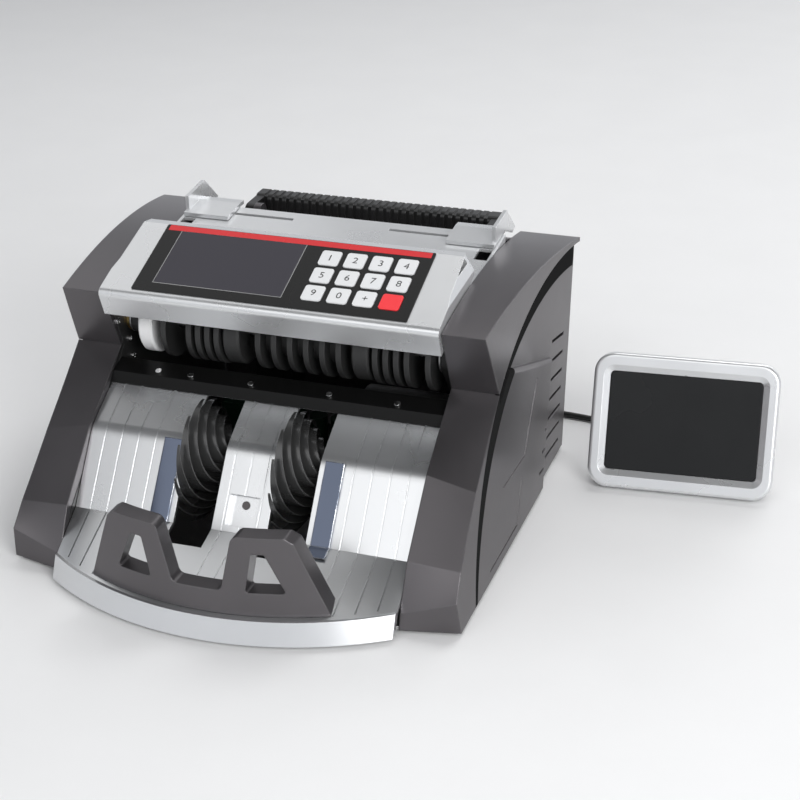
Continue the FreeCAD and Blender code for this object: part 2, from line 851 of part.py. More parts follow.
def guard_screws():
    """Small round-headed screws along the guard plate."""
    _, edge, crest, _ = guard_line()
    along = Vector(0, crest[0] - edge[0], crest[1] - edge[1])
    normal = Vector(0, -along.z, along.y).normalize()
    screws = []
    for x in screw_places:
        seat = Vector(x, edge[0], edge[1]) + along * screw_place
        screws.append(Part.makeCylinder(screw_radius, screw_height, seat, normal))
    return Part.makeCompound(screws)


def panel_slope():
    """Angle of the console top."""
    return math.atan2(console_ridge[1] - console_lip_top[1], console_ridge[0] - console_lip_top[0])


def panel_point(x, v, w):
    """Point on the console top: x across, v up the slope from the overlay's front edge, w proud of it."""
    angle = panel_slope()
    start_z = console_lip_top[1] + (overlay_front_y - console_lip_top[0]) * math.tan(angle)
    y = overlay_front_y + v * math.cos(angle) - w * math.sin(angle)
    return Vector(x, y, start_z + v * math.sin(angle) + w * math.cos(angle))


def panel_plate(x0, x1, v0, v1, w0, w1, radius):
    """Plate lying on the console top."""
    corners = [panel_point(x, v, w0) for x, v in ((x0, v0), (x1, v0), (x1, v1), (x0, v1))]
    wire = rounded_wire(corners, [radius] * 4)
    return Part.Face(wire).extrude(panel_point(0, 0, w1) - panel_point(0, 0, w0))


def key_place(row, column):
    """Centre of a key on the overlay, by row from the front and column from the left."""
    last_x = overlay_half - key_margin
    return last_x - (key_columns - 1 - column) * key_pitch_x, key_first_v + row * key_pitch_v


def key_plate(row, column, grow, w0, w1):
    """Square plate with round corners at a key's place, grown on all sides."""
    x, v = key_place(row, column)
    half = key_size / 2 + grow
    return panel_plate(x - half, x + half, v - half, v + half, w0, w1, key_round + grow)


def key_places():
    """Rows and columns of the keys, in the order of their numbers."""
    return [(key_rows - 1 - i // key_columns, i % key_columns) for i in range(key_rows * key_columns)]


def console_housing():
    """Sloping console with a rounded lip, closed ends, faceted sides and pockets for the keys."""
    outer = [console_lip_low, console_lip_top, console_ridge, console_rear_top, console_rear_low]
    wire = rounded_wire([Vector(-core_half, y, z) for y, z in outer], console_rounds)
    body = Part.Face(wire).extrude(Vector(2 * core_half, 0, 0))
    room = inset(outer, console_wall)
    room[0] = (room[0][0], room[0][1] - 2 * console_wall)
    room[4] = (room[4][0], room[4][1] - 2 * console_wall)
    hollow = prism_x(room, console_wall - core_half, core_half - console_wall)
    facet = side_facet()
    depth = key_depth + key_travel + key_gap
    pockets = [key_plate(row, column, key_gap, -depth, 1.0) for row, column in key_places()]
    return body.cut([hollow, facet, mirrored(facet)] + pockets)


def side_facet():
    """Corner cut from the right end of the console, widening to the rear."""
    tip = Vector(core_half + seam, console_lip_top[0] + console_facet_tip[0],
                 console_lip_top[1] + console_facet_tip[1])
    rear = rear_y / 3
    inner = Vector(console_facet_rear_half, rear, console_rear_top[1] + seam)
    low = Vector(core_half + seam, rear, console_rear_top[1] - console_facet_drop)
    above = Vector(core_half + seam, rear, console_rear_top[1] + console_facet_drop)
    trios = ((tip, inner, low), (tip, inner, above), (tip, low, above), (inner, low, above))
    faces = [wire_face(list(trio)) for trio in trios]
    return Part.makeSolid(Part.makeShell(faces))


def keypad_overlay():
    """Printed sheet on the console with openings for the keys and the display window."""
    sheet = panel_plate(-overlay_half, overlay_half, 0, overlay_length, 0, overlay_thick, overlay_round)
    holes = [key_plate(row, column, key_gap, -1.0, 2.0) for row, column in key_places()]
    left = window_margin - overlay_half
    window = panel_plate(left - seam, left + window_width + seam, window_front - seam,
                         window_front + window_length + seam, -1.0, 2.0, window_round + seam)
    return sheet.cut(holes + [window])


def lcd_window():
    """Clear window let into the overlay."""
    left = window_margin - overlay_half
    rear = window_front + window_length
    return panel_plate(left, left + window_width, window_front, rear, 0, overlay_thick, window_round)


def key_cap(row, column):
    """Flat key standing a little proud of the overlay."""
    return key_plate(row, column, 0, -key_depth, key_height)


def deck_z(y):
    """Height of the hopper deck's top."""
    share = (y - deck_front[0]) / (deck_rear[0] - deck_front[0])
    return deck_front[1] + share * (deck_rear[1] - deck_front[1])


def hopper_plate():
    """Sloping hopper deck with skirts, slots for guides and wheels, and the feed shaft's brackets."""
    top = [deck_front, deck_rear]
    sheet = prism_x(top + [(y, z - deck_thick) for y, z in reversed(top)], -core_half, core_half)
    skirt = prism_x(top + [(y, z - deck_skirt) for y, z in reversed(top)], core_half - deck_thick, core_half)
    boss = [(feed_axis[0] - bracket_half, deck_z(feed_axis[0] - bracket_half) - deck_thick / 2),
            (feed_axis[0] + bracket_half, deck_z(feed_axis[0] + bracket_half) - deck_thick / 2),
            (feed_axis[0] + bracket_half, feed_axis[1] - bracket_half),
            (feed_axis[0] - bracket_half, feed_axis[1] - bracket_half)]
    bracket = prism_x(boss, feed_bracket_x, feed_bracket_x + bracket_thick)
    body = fused([sheet, skirt, mirrored(skirt), bracket, mirrored(bracket)])
    cuts = [rod_x(feed_axis, shaft_radius + turning_fit, -core_half, core_half)]
    half = guide_slot_width / 2
    above = 2 * deck_rear[1] - deck_front[1]
    for s in (-1, 1):
        low, high = sorted((s * guide_slot_inner, s * (guide_ledge_inner + guide_foot() + seam * 4)))
        cuts.append(block((low, guide_slot_y - half, deck_front[1]), (high, guide_slot_y + half, above)))
        low, high = sorted((s * deck_notch_half, s * (core_half - deck_thick)))
        cuts.append(block((low, deck_notch_front_y, deck_front[1]), (high, deck_notch_rear_y, above)))
    for x in feed_centres:
        reach = feed_radius + feed_slot_gap
        half = feed_width / 2 + feed_slot_gap
        cuts.append(block((x - half, feed_axis[0] - reach, deck_front[1] - deck_thick * 2),
                          (x + half, feed_axis[0] + reach, deck_rear[1])))
    return body.cut(cuts)


def guide_foot():
    """Length of the runner of a note guide in its slot."""
    return guide_travel / 5


def note_guide():
    """Right note guide: ledge over the deck, upright fin and a runner in the slot."""
    base = [(guide_ledge_front_y, deck_z(guide_ledge_front_y) + guide_gap),
            (deck_rear[0], deck_rear[1] + guide_gap), (guide_ledge_rear_y, deck_rear[1] + guide_gap)]
    raised = [(y, z + guide_ledge_thick) for y, z in reversed(base)]
    ledge = prism_x(base + raised, guide_ledge_inner, guide_half)
    lift = deck_rear[1] + guide_gap
    fin_outline = [(fin_front_y, deck_z(fin_front_y) + guide_gap), (fin_front_y, fin_front_z), fin_peak,
                   fin_rear, fin_heel, (guide_ledge_rear_y, lift), (deck_rear[0], lift)]
    fin = prism_x(fin_outline, guide_half - guide_fin_thick, guide_half)
    width = guide_slot_width / 2 - seam
    stem = block((guide_ledge_inner + seam, guide_slot_y - width, deck_z(guide_slot_y) - deck_thick * 2),
                 (guide_ledge_inner + guide_foot(), guide_slot_y + width, lift + guide_ledge_thick / 2))
    return fused([ledge, fin, stem])


def rear_cover():
    """Dark rear moulding: sloping top, upright back with its openings, and the handle's lugs and pins."""
    outer = [cover_top_front, cover_top_rear, (rear_y, cover_edge_z), (rear_y, foot_height)]
    inner = inset(outer + [(cover_top_front[0], foot_height)], cover_thick)
    line = outer + [(inner[3][0], foot_height), inner[2], inner[1], (cover_top_front[0], inner[1][1] +
                    (cover_top_front[1] - cover_top_rear[1]))]
    round_in = cover_round - cover_thick
    rounds = [0, cover_round, cover_round, 0, 0, round_in, round_in, 0]
    wire = rounded_wire([Vector(-core_half, y, z) for y, z in line], rounds)
    body = Part.Face(wire).extrude(Vector(2 * core_half, 0, 0))
    lugs = []
    inner_x = handle_half - handle_arm_thick - seam
    for s in (-1, 1):
        low, high = sorted((s * inner_x, s * (inner_x - lug_thick)))
        lugs.append(rod_x(handle_pivot, lug_radius, low, high))
        lugs.append(block((low, rear_y - cover_thick / 2, handle_pivot[1] - lug_radius - lug_drop),
                          (high, handle_pivot[0], handle_pivot[1])))
        low, high = sorted((s * (inner_x - lug_thick), s * (handle_half + seam)))
        lugs.append(rod_x(handle_pivot, pin_radius, low, high))
    body = fused([body] + lugs)
    hole_w = inlet_flange[0] - 2 * inlet_body_margin + seam
    hole_h = inlet_flange[1] - 2 * inlet_body_margin + seam
    cuts = [block((inlet_x - hole_w / 2, rear_y - cover_thick * 2, inlet_z - hole_h / 2),
                  (inlet_x + hole_w / 2, rear_y + 1, inlet_z + hole_h / 2))]
    jack = Vector(plug_x, rear_y - cover_thick * 2, plug_z)
    cuts.append(Part.makeCylinder(jack_radius + seam / 3, cover_thick * 3, jack, Vector(0, 1, 0)))
    for i in range(rear_vent_count):
        z = rear_vent_low_z + rear_vent_pitch * i
        cuts.append(block((-rear_vent_half, rear_y - cover_thick * 2, z),
                          (rear_vent_half, rear_y + 1, z + rear_vent_height)))
    return body.cut(cuts)


def carry_handle():
    """Ribbed grip bar on two arms that turn on the cover's pins."""
    half = handle_half
    low_z = grip_top_z - grip_height
    corners = [(grip_front_y, low_z), (grip_front_y + grip_depth, low_z),
               (grip_front_y + grip_depth, grip_top_z), (grip_front_y, grip_top_z)]
    wire = rounded_wire([Vector(-half, y, z) for y, z in corners], [grip_round] * 4)
    bar = Part.Face(wire).extrude(Vector(2 * half, 0, 0))
    core = wire_face([Vector(-half, y, z) for y, z in inset(corners, rib_depth)])
    groove = Part.Face(wire).cut(core)
    pitch = (2 * half - 2 * handle_arm_thick) / grip_ribs
    cuts = []
    for i in range(grip_ribs):
        start = handle_arm_thick + pitch * i
        piece = groove.extrude(Vector(pitch * rib_share, 0, 0))
        piece.translate(Vector(start, 0, 0))
        cuts.append(piece)
    arms = []
    for x in (-half, half - handle_arm_thick):
        profile = [(handle_pivot[0], handle_pivot[1] - handle_arm_height / 2),
                   (grip_front_y + grip_depth / 2, low_z + 1.0),
                   (grip_front_y + grip_depth / 2, grip_top_z - 1.0),
                   (handle_pivot[0], handle_pivot[1] + handle_arm_height / 2)]
        arms.append(prism_x(profile, x, x + handle_arm_thick))
        arms.append(rod_x(handle_pivot, handle_arm_height / 2, x, x + handle_arm_thick))
    body = fused([bar.cut(cuts)] + arms)
    return body.cut(rod_x(handle_pivot, pin_radius + turning_fit, -half - 1, half + 1))


def shaft(axis, x0, x1):
    """Plain round shaft."""
    return rod_x(axis, shaft_radius, x0, x1)


def comb_roller(first, number, pitch):
    """Rubber roller with a row of discs on one hub."""
    bore = shaft_radius + turning_fit
    half = disc_width / 2
    outline = [(first - half, bore), (first - half, disc_radius)]
    for i in range(number):
        centre = first + pitch * i
        if i > 0:
            outline += [(centre - half, hub_radius), (centre - half, disc_radius)]
        outline += [(centre + half, disc_radius)]
        if i + 1 < number:
            outline += [(centre + half, hub_radius)]
    outline.append((first + pitch * (number - 1) + half, bore))
    return spun_x(outline, transport_axis)


def drum(centre, width, radius, axis):
    """Wide wheel with chamfered rims."""
    bore = shaft_radius + turning_fit
    half = width / 2
    edge = drum_chamfer
    left = [(-half, bore), (-half, radius - edge), (edge - half, radius)]
    right = [(-x, r) for x, r in reversed(left)]
    return spun_x([(centre + x, r) for x, r in left + right], axis)


def transport_rollers():
    """All rubber rollers of the transport shaft."""
    rollers = [comb_roller(*group) for group in zip(disc_starts, disc_counts, disc_pitches)]
    rollers += [drum(x, drum_width, drum_radius, transport_axis) for x in drum_centres]
    return Part.makeCompound(rollers)


def feed_wheels():
    """Rubber wheels that stand a little through the hopper deck."""
    return Part.makeCompound([drum(x, feed_width, feed_radius, feed_axis) for x in feed_centres])


def bearings():
    """Flanged bushes of the two long shafts in the side frames."""
    bushes = []
    for axis in (transport_axis, stacker_axis):
        bore = shaft_radius + turning_fit
        start = shell_in - bearing_flange_thick - seam / 3
        end = shell_in + frame_thick
        outline = [(start, bore), (start, bearing_flange), (start + bearing_flange_thick, bearing_flange),
                   (start + bearing_flange_thick, bearing_radius), (end, bearing_radius), (end, bore)]
        bush = spun_x(outline, axis)
        bushes += [bush, mirrored(bush)]
    return Part.makeCompound(bushes)


def finger_side(turn, offset):
    """One long side of a finger: a curve that winds from the hub to the tip."""
    root = wheel_hub_radius - finger_thick
    points = []
    for i in range(finger_steps + 1):
        share = i / finger_steps
        radius = root + (wheel_radius - root) * share
        angle = math.radians(turn - finger_sweep * share ** finger_curl) + offset / radius
        points.append(Vector(0, radius * math.cos(angle), radius * math.sin(angle)) + Vector(0, *stacker_axis))
    curve = Part.BSplineCurve()
    curve.interpolate(points)
    return curve.toShape()


def finger_outline(turn):
    """Side outline of one curved finger with its thickness."""
    sides = [finger_side(turn, 0), finger_side(turn, finger_thick)]
    ends = [Part.LineSegment(sides[0].Vertexes[i].Point, sides[1].Vertexes[i].Point).toShape() for i in (0, 1)]
    return Part.Face(Part.Wire(Part.__sortEdges__(sides + ends)))


def stacker_wheel(centre):
    """Hub with a ring of curved fingers that narrow to their tips."""
    start = centre - wheel_width / 2
    hub = rod_x(stacker_axis, wheel_hub_radius, start, start + wheel_width)
    fingers = []
    for i in range(finger_count):
        finger = finger_outline(360.0 * i / finger_count).extrude(Vector(wheel_width, 0, 0))
        finger.translate(Vector(start, 0, 0))
        fingers.append(finger)
    end = start + wheel_width
    flank = spun_x([(start, 0), (start, wheel_radius), (start + wheel_tip_width, wheel_radius),
                    (end, wheel_flank_radius), (end, 0)], stacker_axis)
    body = fused([hub] + fingers).common(flank)
    return body.cut(rod_x(stacker_axis, shaft_radius + turning_fit, start - 1, end + 1))


def pulley(axis, radius, x0, bore):
    """Belt pulley with two flanges."""
    half = belt_width / 2 + seam
    rim = radius + pulley_rim
    left = [(-half - pulley_flange, bore), (-half - pulley_flange, rim), (-half, rim), (-half, radius)]
    right = [(-x, r) for x, r in reversed(left)]
    return spun_x([(x0 + half + x, r) for x, r in left + right], axis)


def shaft_pulley(axis, radius, x0):
    """Belt pulley bored for one of the long shafts."""
    return pulley(axis, radius, x0, shaft_radius + turning_fit)


def belt_wire(circles, x):
    """Outline of a belt round circles given as (axis, radius), listed anticlockwise seen from the right."""
    normals = []
    for (a, ra), (b, rb) in zip(circles, circles[1:] + circles[:1]):
        length = math.hypot(b[0] - a[0], b[1] - a[1])
        along = ((b[0] - a[0]) / length, (b[1] - a[1]) / length)
        lean = (ra - rb) / length
        rise = math.sqrt(1 - lean ** 2)
        normals.append((along[0] * lean + along[1] * rise, along[1] * lean - along[0] * rise))
    edges = []
    for i, (axis, radius) in enumerate(circles):
        before = normals[i - 1]
        after = normals[i]
        turn = (math.atan2(after[1], after[0]) - math.atan2(before[1], before[0])) % (2 * math.pi)
        middle = math.atan2(before[1], before[0]) + turn / 2
        ends = [before, (math.cos(middle), math.sin(middle)), after]
        points = [Vector(x, axis[0] + radius * n[0], axis[1] + radius * n[1]) for n in ends]
        edges.append(Part.Arc(*points).toShape())
        following = circles[(i + 1) % len(circles)]
        start = Vector(x, axis[0] + radius * after[0], axis[1] + radius * after[1])
        end = Vector(x, following[0][0] + following[1] * after[0], following[0][1] + following[1] * after[1])
        edges.append(Part.LineSegment(start, end).toShape())
    return Part.Wire(edges)


def belt(circles, x0):
    """Flat belt round its pulleys, a little clear of them."""
    inner = [(axis, radius + belt_gap) for axis, radius in circles]
    outer = [(axis, radius + belt_gap + belt_thick) for axis, radius in circles]
    ring = Part.Face(belt_wire(outer, x0)).cut(Part.Face(belt_wire(inner, x0)))
    return ring.extrude(Vector(belt_width, 0, 0))


def drive_belts():
    """Belts from the motor to the transport and stacker, and from the transport to the feed."""
    motor = (motor_axis, motor_pulley_radius)
    transport = belt([motor, (transport_axis, transport_pulley_radius)], transport_belt_x + seam)
    stacker = belt([motor, (stacker_axis, stacker_pulley_radius)], stacker_belt_x + seam)
    feed = belt([(transport_axis, feed_drive_radius), (feed_axis, feed_pulley_radius)], feed_belt_x + seam)
    return Part.makeCompound([transport, stacker, feed])


def transport_pulleys():
    """Pulley of the motor's belt on the right and of the feed belt on the left."""
    return Part.makeCompound([shaft_pulley(transport_axis, transport_pulley_radius, transport_belt_x),
                              shaft_pulley(transport_axis, feed_drive_radius, feed_belt_x)])


def drive_motor():
    """Motor can on a foot that stands on the base plate, bored for the shaft."""
    start = motor_end_x - motor_length
    can = rod_x(motor_axis, motor_radius, start, motor_end_x)
    boss = rod_x(motor_axis, motor_boss_radius, start - motor_boss_length, motor_end_x + motor_boss_length)
    foot = block((start, motor_axis[0] - motor_foot_half, foot_height + base_thick),
                 (motor_end_x, motor_axis[0] + motor_foot_half, motor_axis[1]))
    bore = rod_x(motor_axis, motor_shaft_radius + turning_fit, motor_end_x - motor_length / 2,
                 motor_end_x + 2 * motor_boss_length)
    return fused([can, boss, foot]).cut(bore)


def motor_pulley():
    """Two motor pulleys in one piece with the motor shaft."""
    end = transport_belt_x + belt_width + 2 * seam + pulley_flange
    wheels = [pulley(motor_axis, motor_pulley_radius, x, motor_shaft_radius - seam)
              for x in (transport_belt_x, stacker_belt_x)]
    return fused([rod_x(motor_axis, motor_shaft_radius, motor_end_x - motor_length / 3, end)] + wheels)


def main_board():
    """Circuit board on its posts, with a transformer, capacitors, a chip and a row of sockets."""
    x, y = board_corner
    z = foot_height + base_thick + board_lift
    top = z + board_thick
    rear = y + board_size[1] - board_margin
    pieces = [block((x, y, z), (x + board_size[0], y + board_size[1], top))]
    left = x + board_margin
    pieces.append(block((left, rear - transformer_size[1], top),
                        (left + transformer_size[0], rear, top + transformer_size[2])))
    for i in range(capacitor_count):
        centre = left + transformer_size[0] + (i + 1) * capacitor_pitch
        foot = Vector(centre, rear - transformer_size[1] / 2, top)
        pieces.append(Part.makeCylinder(capacitor_radius, capacitor_height, foot))
    for i in range(socket_count):
        start = left + i * socket_pitch
        pieces.append(block((start, y + board_margin / 2, top),
                            (start + pin_socket[0], y + board_margin / 2 + pin_socket[1], top + pin_socket[2])))
    middle = Vector(x + board_size[0] / 2, y + board_size[1] / 3, top)
    pieces.append(block((middle.x - chip_size / 2, middle.y - chip_size / 2, top),
                        (middle.x + chip_size / 2, middle.y + chip_size / 2, top + chip_height)))
    return fused(pieces)


def inlet_block(size, shift, y0, y1):
    """Block on the inlet's centre line with a (width, height), moved up by a shift."""
    z = inlet_z + shift
    return block((inlet_x - size[0] / 2, y0, z - size[1] / 2), (inlet_x + size[0] / 2, y1, z + size[1] / 2))


def mains_inlet():
    """Inlet module in the rear cover: socket with three blades, and the frame of the rocker."""
    face = rear_y + inlet_flange_thick
    flange = inlet_block(inlet_flange, 0, rear_y, face)
    body_size = [side - 2 * inlet_body_margin for side in inlet_flange]
    body = inlet_block(body_size, 0, rear_y - inlet_body_depth, rear_y)
    socket = inlet_block(socket_size, socket_shift, face - socket_depth, face + 1)
    well_size = [side + 2 * rocker_gap for side in rocker_size]
    well = inlet_block(well_size, rocker_shift, face - rocker_size[1], face + 1)
    shell = fused([flange, body]).cut([socket, well])
    blades = []
    for dx, dz in ((-blade_spread, -blade_drop), (0.0, blade_drop), (blade_spread, -blade_drop)):
        blade = inlet_block(blade_size, socket_shift + dz, face - socket_depth - 1, face - blade_setback)
        blade.translate(Vector(dx, 0, 0))
        blades.append(blade)
    reach = rocker_size[0] / 2 + 2 * rocker_gap
    axle = rod_x(rocker_axis(), rocker_axle_radius, inlet_x - reach, inlet_x + reach)
    return fused([shell] + blades + [axle])


def rocker_axis():
    """Axis of the power rocker."""
    return (rear_y + inlet_flange_thick - rocker_axle_depth, inlet_z + rocker_shift)


def power_switch():
    """Rocker cap with a shallow dished face, resting with its upper half pressed in."""
    axis = rocker_axis()
    half = rocker_size[1] / 2
    face = rear_y + inlet_flange_thick
    proud = face + rocker_proud
    root = axis[0] - 2 * rocker_axle_radius
    dish = half * math.tan(math.radians(rocker_throw))
    lower = [(root, -half / 2), (face, -half), (proud, -half), (proud - dish, 0)]
    upper = [(y, -z) for y, z in reversed(lower[:-1])]
    outline = [(y, axis[1] + z) for y, z in lower + upper]
    reach = rocker_size[0] / 2
    cap = prism_x(outline, inlet_x - reach, inlet_x + reach)
    cap = cap.cut(rod_x(axis, rocker_axle_radius + turning_fit, inlet_x - 2 * reach, inlet_x + 2 * reach))
    cap.rotate(Vector(0, *axis), Vector(1, 0, 0), rocker_throw)
    return cap


def display_place():
    """Placement of the display, from its own frame with the face towards -Y."""
    place = Matrix()
    place.rotateX(math.radians(-display_tilt))
    place.rotateZ(math.radians(display_yaw))
    place.move(Vector(display_x, display_y, display_lift))
    return place


def display_bezel():
    """Rounded frame with a sloping lip round the screen."""
    mid = bezel_height / 2
    body = rounded_plate(bezel_width, bezel_height, bezel_round, 0, mid, 0, bezel_depth)
    rim = [e for e in body.Edges if e.BoundBox.YMax < 0.01]
    body = body.makeFillet(bezel_edge_round, rim)
    def ring(spread, y):
        wide = screen_width + 2 * spread
        tall = screen_height + 2 * spread
        corners = [(-wide / 2, mid - tall / 2), (wide / 2, mid - tall / 2),
                   (wide / 2, mid + tall / 2), (-wide / 2, mid + tall / 2)]
        return rounded_wire([Vector(x, y, z) for x, z in corners], [screen_round + spread] * 4)
    funnel = Part.makeLoft([ring(lip_spread, -0.01), ring(0, screen_setback)], True, True)
    opening = rounded_plate(screen_width, screen_height, screen_round, 0, mid, screen_setback - 0.01,
                            bezel_depth + 1)
    return body.cut([funnel, opening]).transformGeometry(display_place())


def display_screen():
    """Dark panel behind the bezel's opening."""
    mid = bezel_height / 2
    panel = rounded_plate(screen_width - 2 * seam, screen_height - 2 * seam, screen_round, 0, mid,
                          screen_setback + seam, screen_setback + seam + screen_thick)
    stem = rounded_plate(screen_width - 2 * lip_spread, screen_height - 2 * lip_spread, screen_round, 0, mid,
                         screen_setback + seam + screen_thick, bezel_depth)
    return fused([panel, stem]).transformGeometry(display_place())


def display_back():
    """Back shell with its wedge stand, cut flat on the table, and the cord's gland."""
    mid = bezel_height / 2
    wide = bezel_width - 2 * back_inset
    tall = bezel_height - 2 * back_inset
    tail = bezel_depth + back_depth
    body = rounded_plate(wide, tall, bezel_round - back_inset, 0, mid, bezel_depth, tail)
    rim = [e for e in body.Edges if e.BoundBox.YMin > tail - 0.01]
    body = body.makeFillet(back_edge_round, rim)
    inside = tail - 2 * bezel_edge_round
    wedge = prism_x([(inside, stand_height), (inside, -stand_reach), (tail + stand_depth, -stand_reach)],
                    -stand_width / 2, stand_width / 2)
    whole = fused([body, wedge]).transformGeometry(display_place())
    reach = 2 * bezel_width
    under = block((display_x - reach, display_y - reach, -reach), (display_x + reach, display_y + reach, 0))
    heading = Vector(-math.sin(math.radians(display_yaw)), math.cos(math.radians(display_yaw)), 0)
    root = gland_end() - heading * gland_length
    gland = Part.makeCone(gland_radius, gland_tip_radius(), gland_length, root, heading)
    neck = Part.makeCylinder(gland_radius, gland_length, root - heading * gland_length, heading)
    return fused([whole.cut(under), neck, gland])


def gland_tip_radius():
    """Radius of a cord sleeve where the cord leaves it."""
    return cord_diameter / 2 + sleeve_wall


def gland_end():
    """Point where the cord leaves the display's gland."""
    yaw = math.radians(display_yaw)
    back = gland_depth + 2 * gland_length
    return Vector(display_x + gland_x * math.cos(yaw) - back * math.sin(yaw),
                  display_y + gland_x * math.sin(yaw) + back * math.cos(yaw), gland_z)


def cord_plug():
    """Plug in the rear jack: tip through the cover, round body and a short taper."""
    inside = Vector(plug_x, rear_y - cover_thick * 3, plug_z)
    tip = Part.makeCylinder(jack_radius, cover_thick * 3, inside, Vector(0, 1, 0))
    grip = Part.makeCylinder(plug_radius, plug_grip, Vector(plug_x, rear_y, plug_z), Vector(0, 1, 0))
    tail = Part.makeCone(plug_radius, gland_tip_radius(), plug_length - plug_grip,
                         Vector(plug_x, rear_y + plug_grip, plug_z), Vector(0, 1, 0))
    return fused([tip, grip, tail])


def tube(points, label):
    """Cord along straight runs joined by the largest tangent arcs that they allow."""
    radii = [0]
    for before, point, after in zip(points, points[1:], points[2:]):
        a = before - point
        b = after - point
        half_turn = (math.pi - a.getAngle(b)) / 2
        radii.append(0.45 * min(a.Length, b.Length) / math.tan(half_turn))
    radii.append(0)
    path = rounded_wire(points, radii, closed=False)
    circle = Part.Wire(Part.makeCircle(cord_diameter / 2, points[0], points[1] - points[0]))
    solid = path.makePipeShell([circle], True, False)
    section = math.pi * cord_diameter ** 2 / 4
    print(label, "radii", [round(r, 1) for r in radii[1:-1]], "length", round(path.Length, 1),
          "volume share", round(solid.Volume / (section * path.Length), 4))
    return solid


def coil_point(quarter):
    """Point and direction of the coil's spiral at a whole quarter turn."""
    middle = coil_quarters / 2
    step = coil_pitch / 4
    radius = coil_outer - step * min(quarter, coil_quarters - quarter)
    inwards = 0 if quarter == middle else (-step if quarter < middle else step)
    climb = max(0.0, min(1.0, (quarter - middle + 1) / 2))
    rise = coil_layer * 0.75 if quarter == middle else 0.0
    angle = math.radians(90 + 90 * quarter)
    out = Vector(math.cos(angle), math.sin(angle), 0)
    along = Vector(-math.sin(angle), math.cos(angle), 0)
    point = Vector(coil_centre[0], coil_centre[1], cord_z + coil_layer * climb) + out * radius
    return point, (along * radius * math.pi / 2 + out * inwards + Vector(0, 0, rise)).normalize()


def biarc(p, u, q, v):
    """Two tangent arcs from p along u to q along v."""
    chord = q - p
    total = u + v
    a = 2 * (1 - u.dot(v))
    b = chord.dot(total)
    reach = (-b + math.sqrt(b * b + a * chord.dot(chord))) / a
    near = p + u * reach
    far = q - v * reach
    joint = (near + far) * 0.5
    arcs = []
    for start, corner, end in ((p, near, joint), (joint, far, q)):
        toward = ((start + end) * 0.5 - corner).normalize()
        half = (start - corner).getAngle(end - corner) / 2
        radius = start.distanceToPoint(corner) * math.tan(half)
        middle = corner + toward * (radius / math.sin(half) - radius)
        arcs.append(Part.Arc(start, middle, end).toShape())
    return arcs


def cord_coil():
    """Put-away length: one tube that spirals in, climbs a layer and spirals out."""
    nodes = [coil_point(q) for q in range(coil_quarters + 1)]
    first = nodes[0][0] - nodes[0][1] * cord_diameter
    last = nodes[-1][0] + nodes[-1][1] * cord_diameter
    edges = [Part.LineSegment(first, nodes[0][0]).toShape()]
    for (p, u), (q, v) in zip(nodes, nodes[1:]):
        edges += biarc(p, u, q, v)
    edges.append(Part.LineSegment(nodes[-1][0], last).toShape())
    path = Part.Wire(edges)
    circle = Part.Wire(Part.makeCircle(cord_diameter / 2, first, nodes[0][1]))
    solid = path.makePipeShell([circle], True, False)
    samples = [p for edge in edges for p in edge.discretize(8)[:-1]]
    apart = 12
    nearest = min(a.distanceToPoint(b) for i, a in enumerate(samples) for b in samples[i + apart:])
    gap = nearest - cord_diameter
    print("coil length", round(path.Length, 1), "least gap", round(gap, 2), "volume share",
          round(solid.Volume / (path.Length * math.pi * cord_diameter ** 2 / 4), 4))
    return solid


def coil_ends():
    """Ends of the coil's tube with their outward directions."""
    p, u = coil_point(0)
    q, v = coil_point(coil_quarters)
    return p - u * cord_diameter, u, q + v * cord_diameter, v


def cord_lead():
    """Stretch from the plug down to the coil."""
    start, along, _, _ = coil_ends()
    points = [Vector(*p) for p in lead_points]
    return tube(points + [start - along * cord_straight, start], "lead")


def cord_run():
    """Stretch from the coil along the table to the display."""
    _, _, end, along = coil_ends()
    heading = Vector(-math.sin(math.radians(display_yaw)), math.cos(math.radians(display_yaw)), 0)
    points = [end, end + along * cord_straight] + [Vector(*p) for p in run_points]
    return tube(points + [gland_end() + heading * cord_straight, gland_end()], "run")


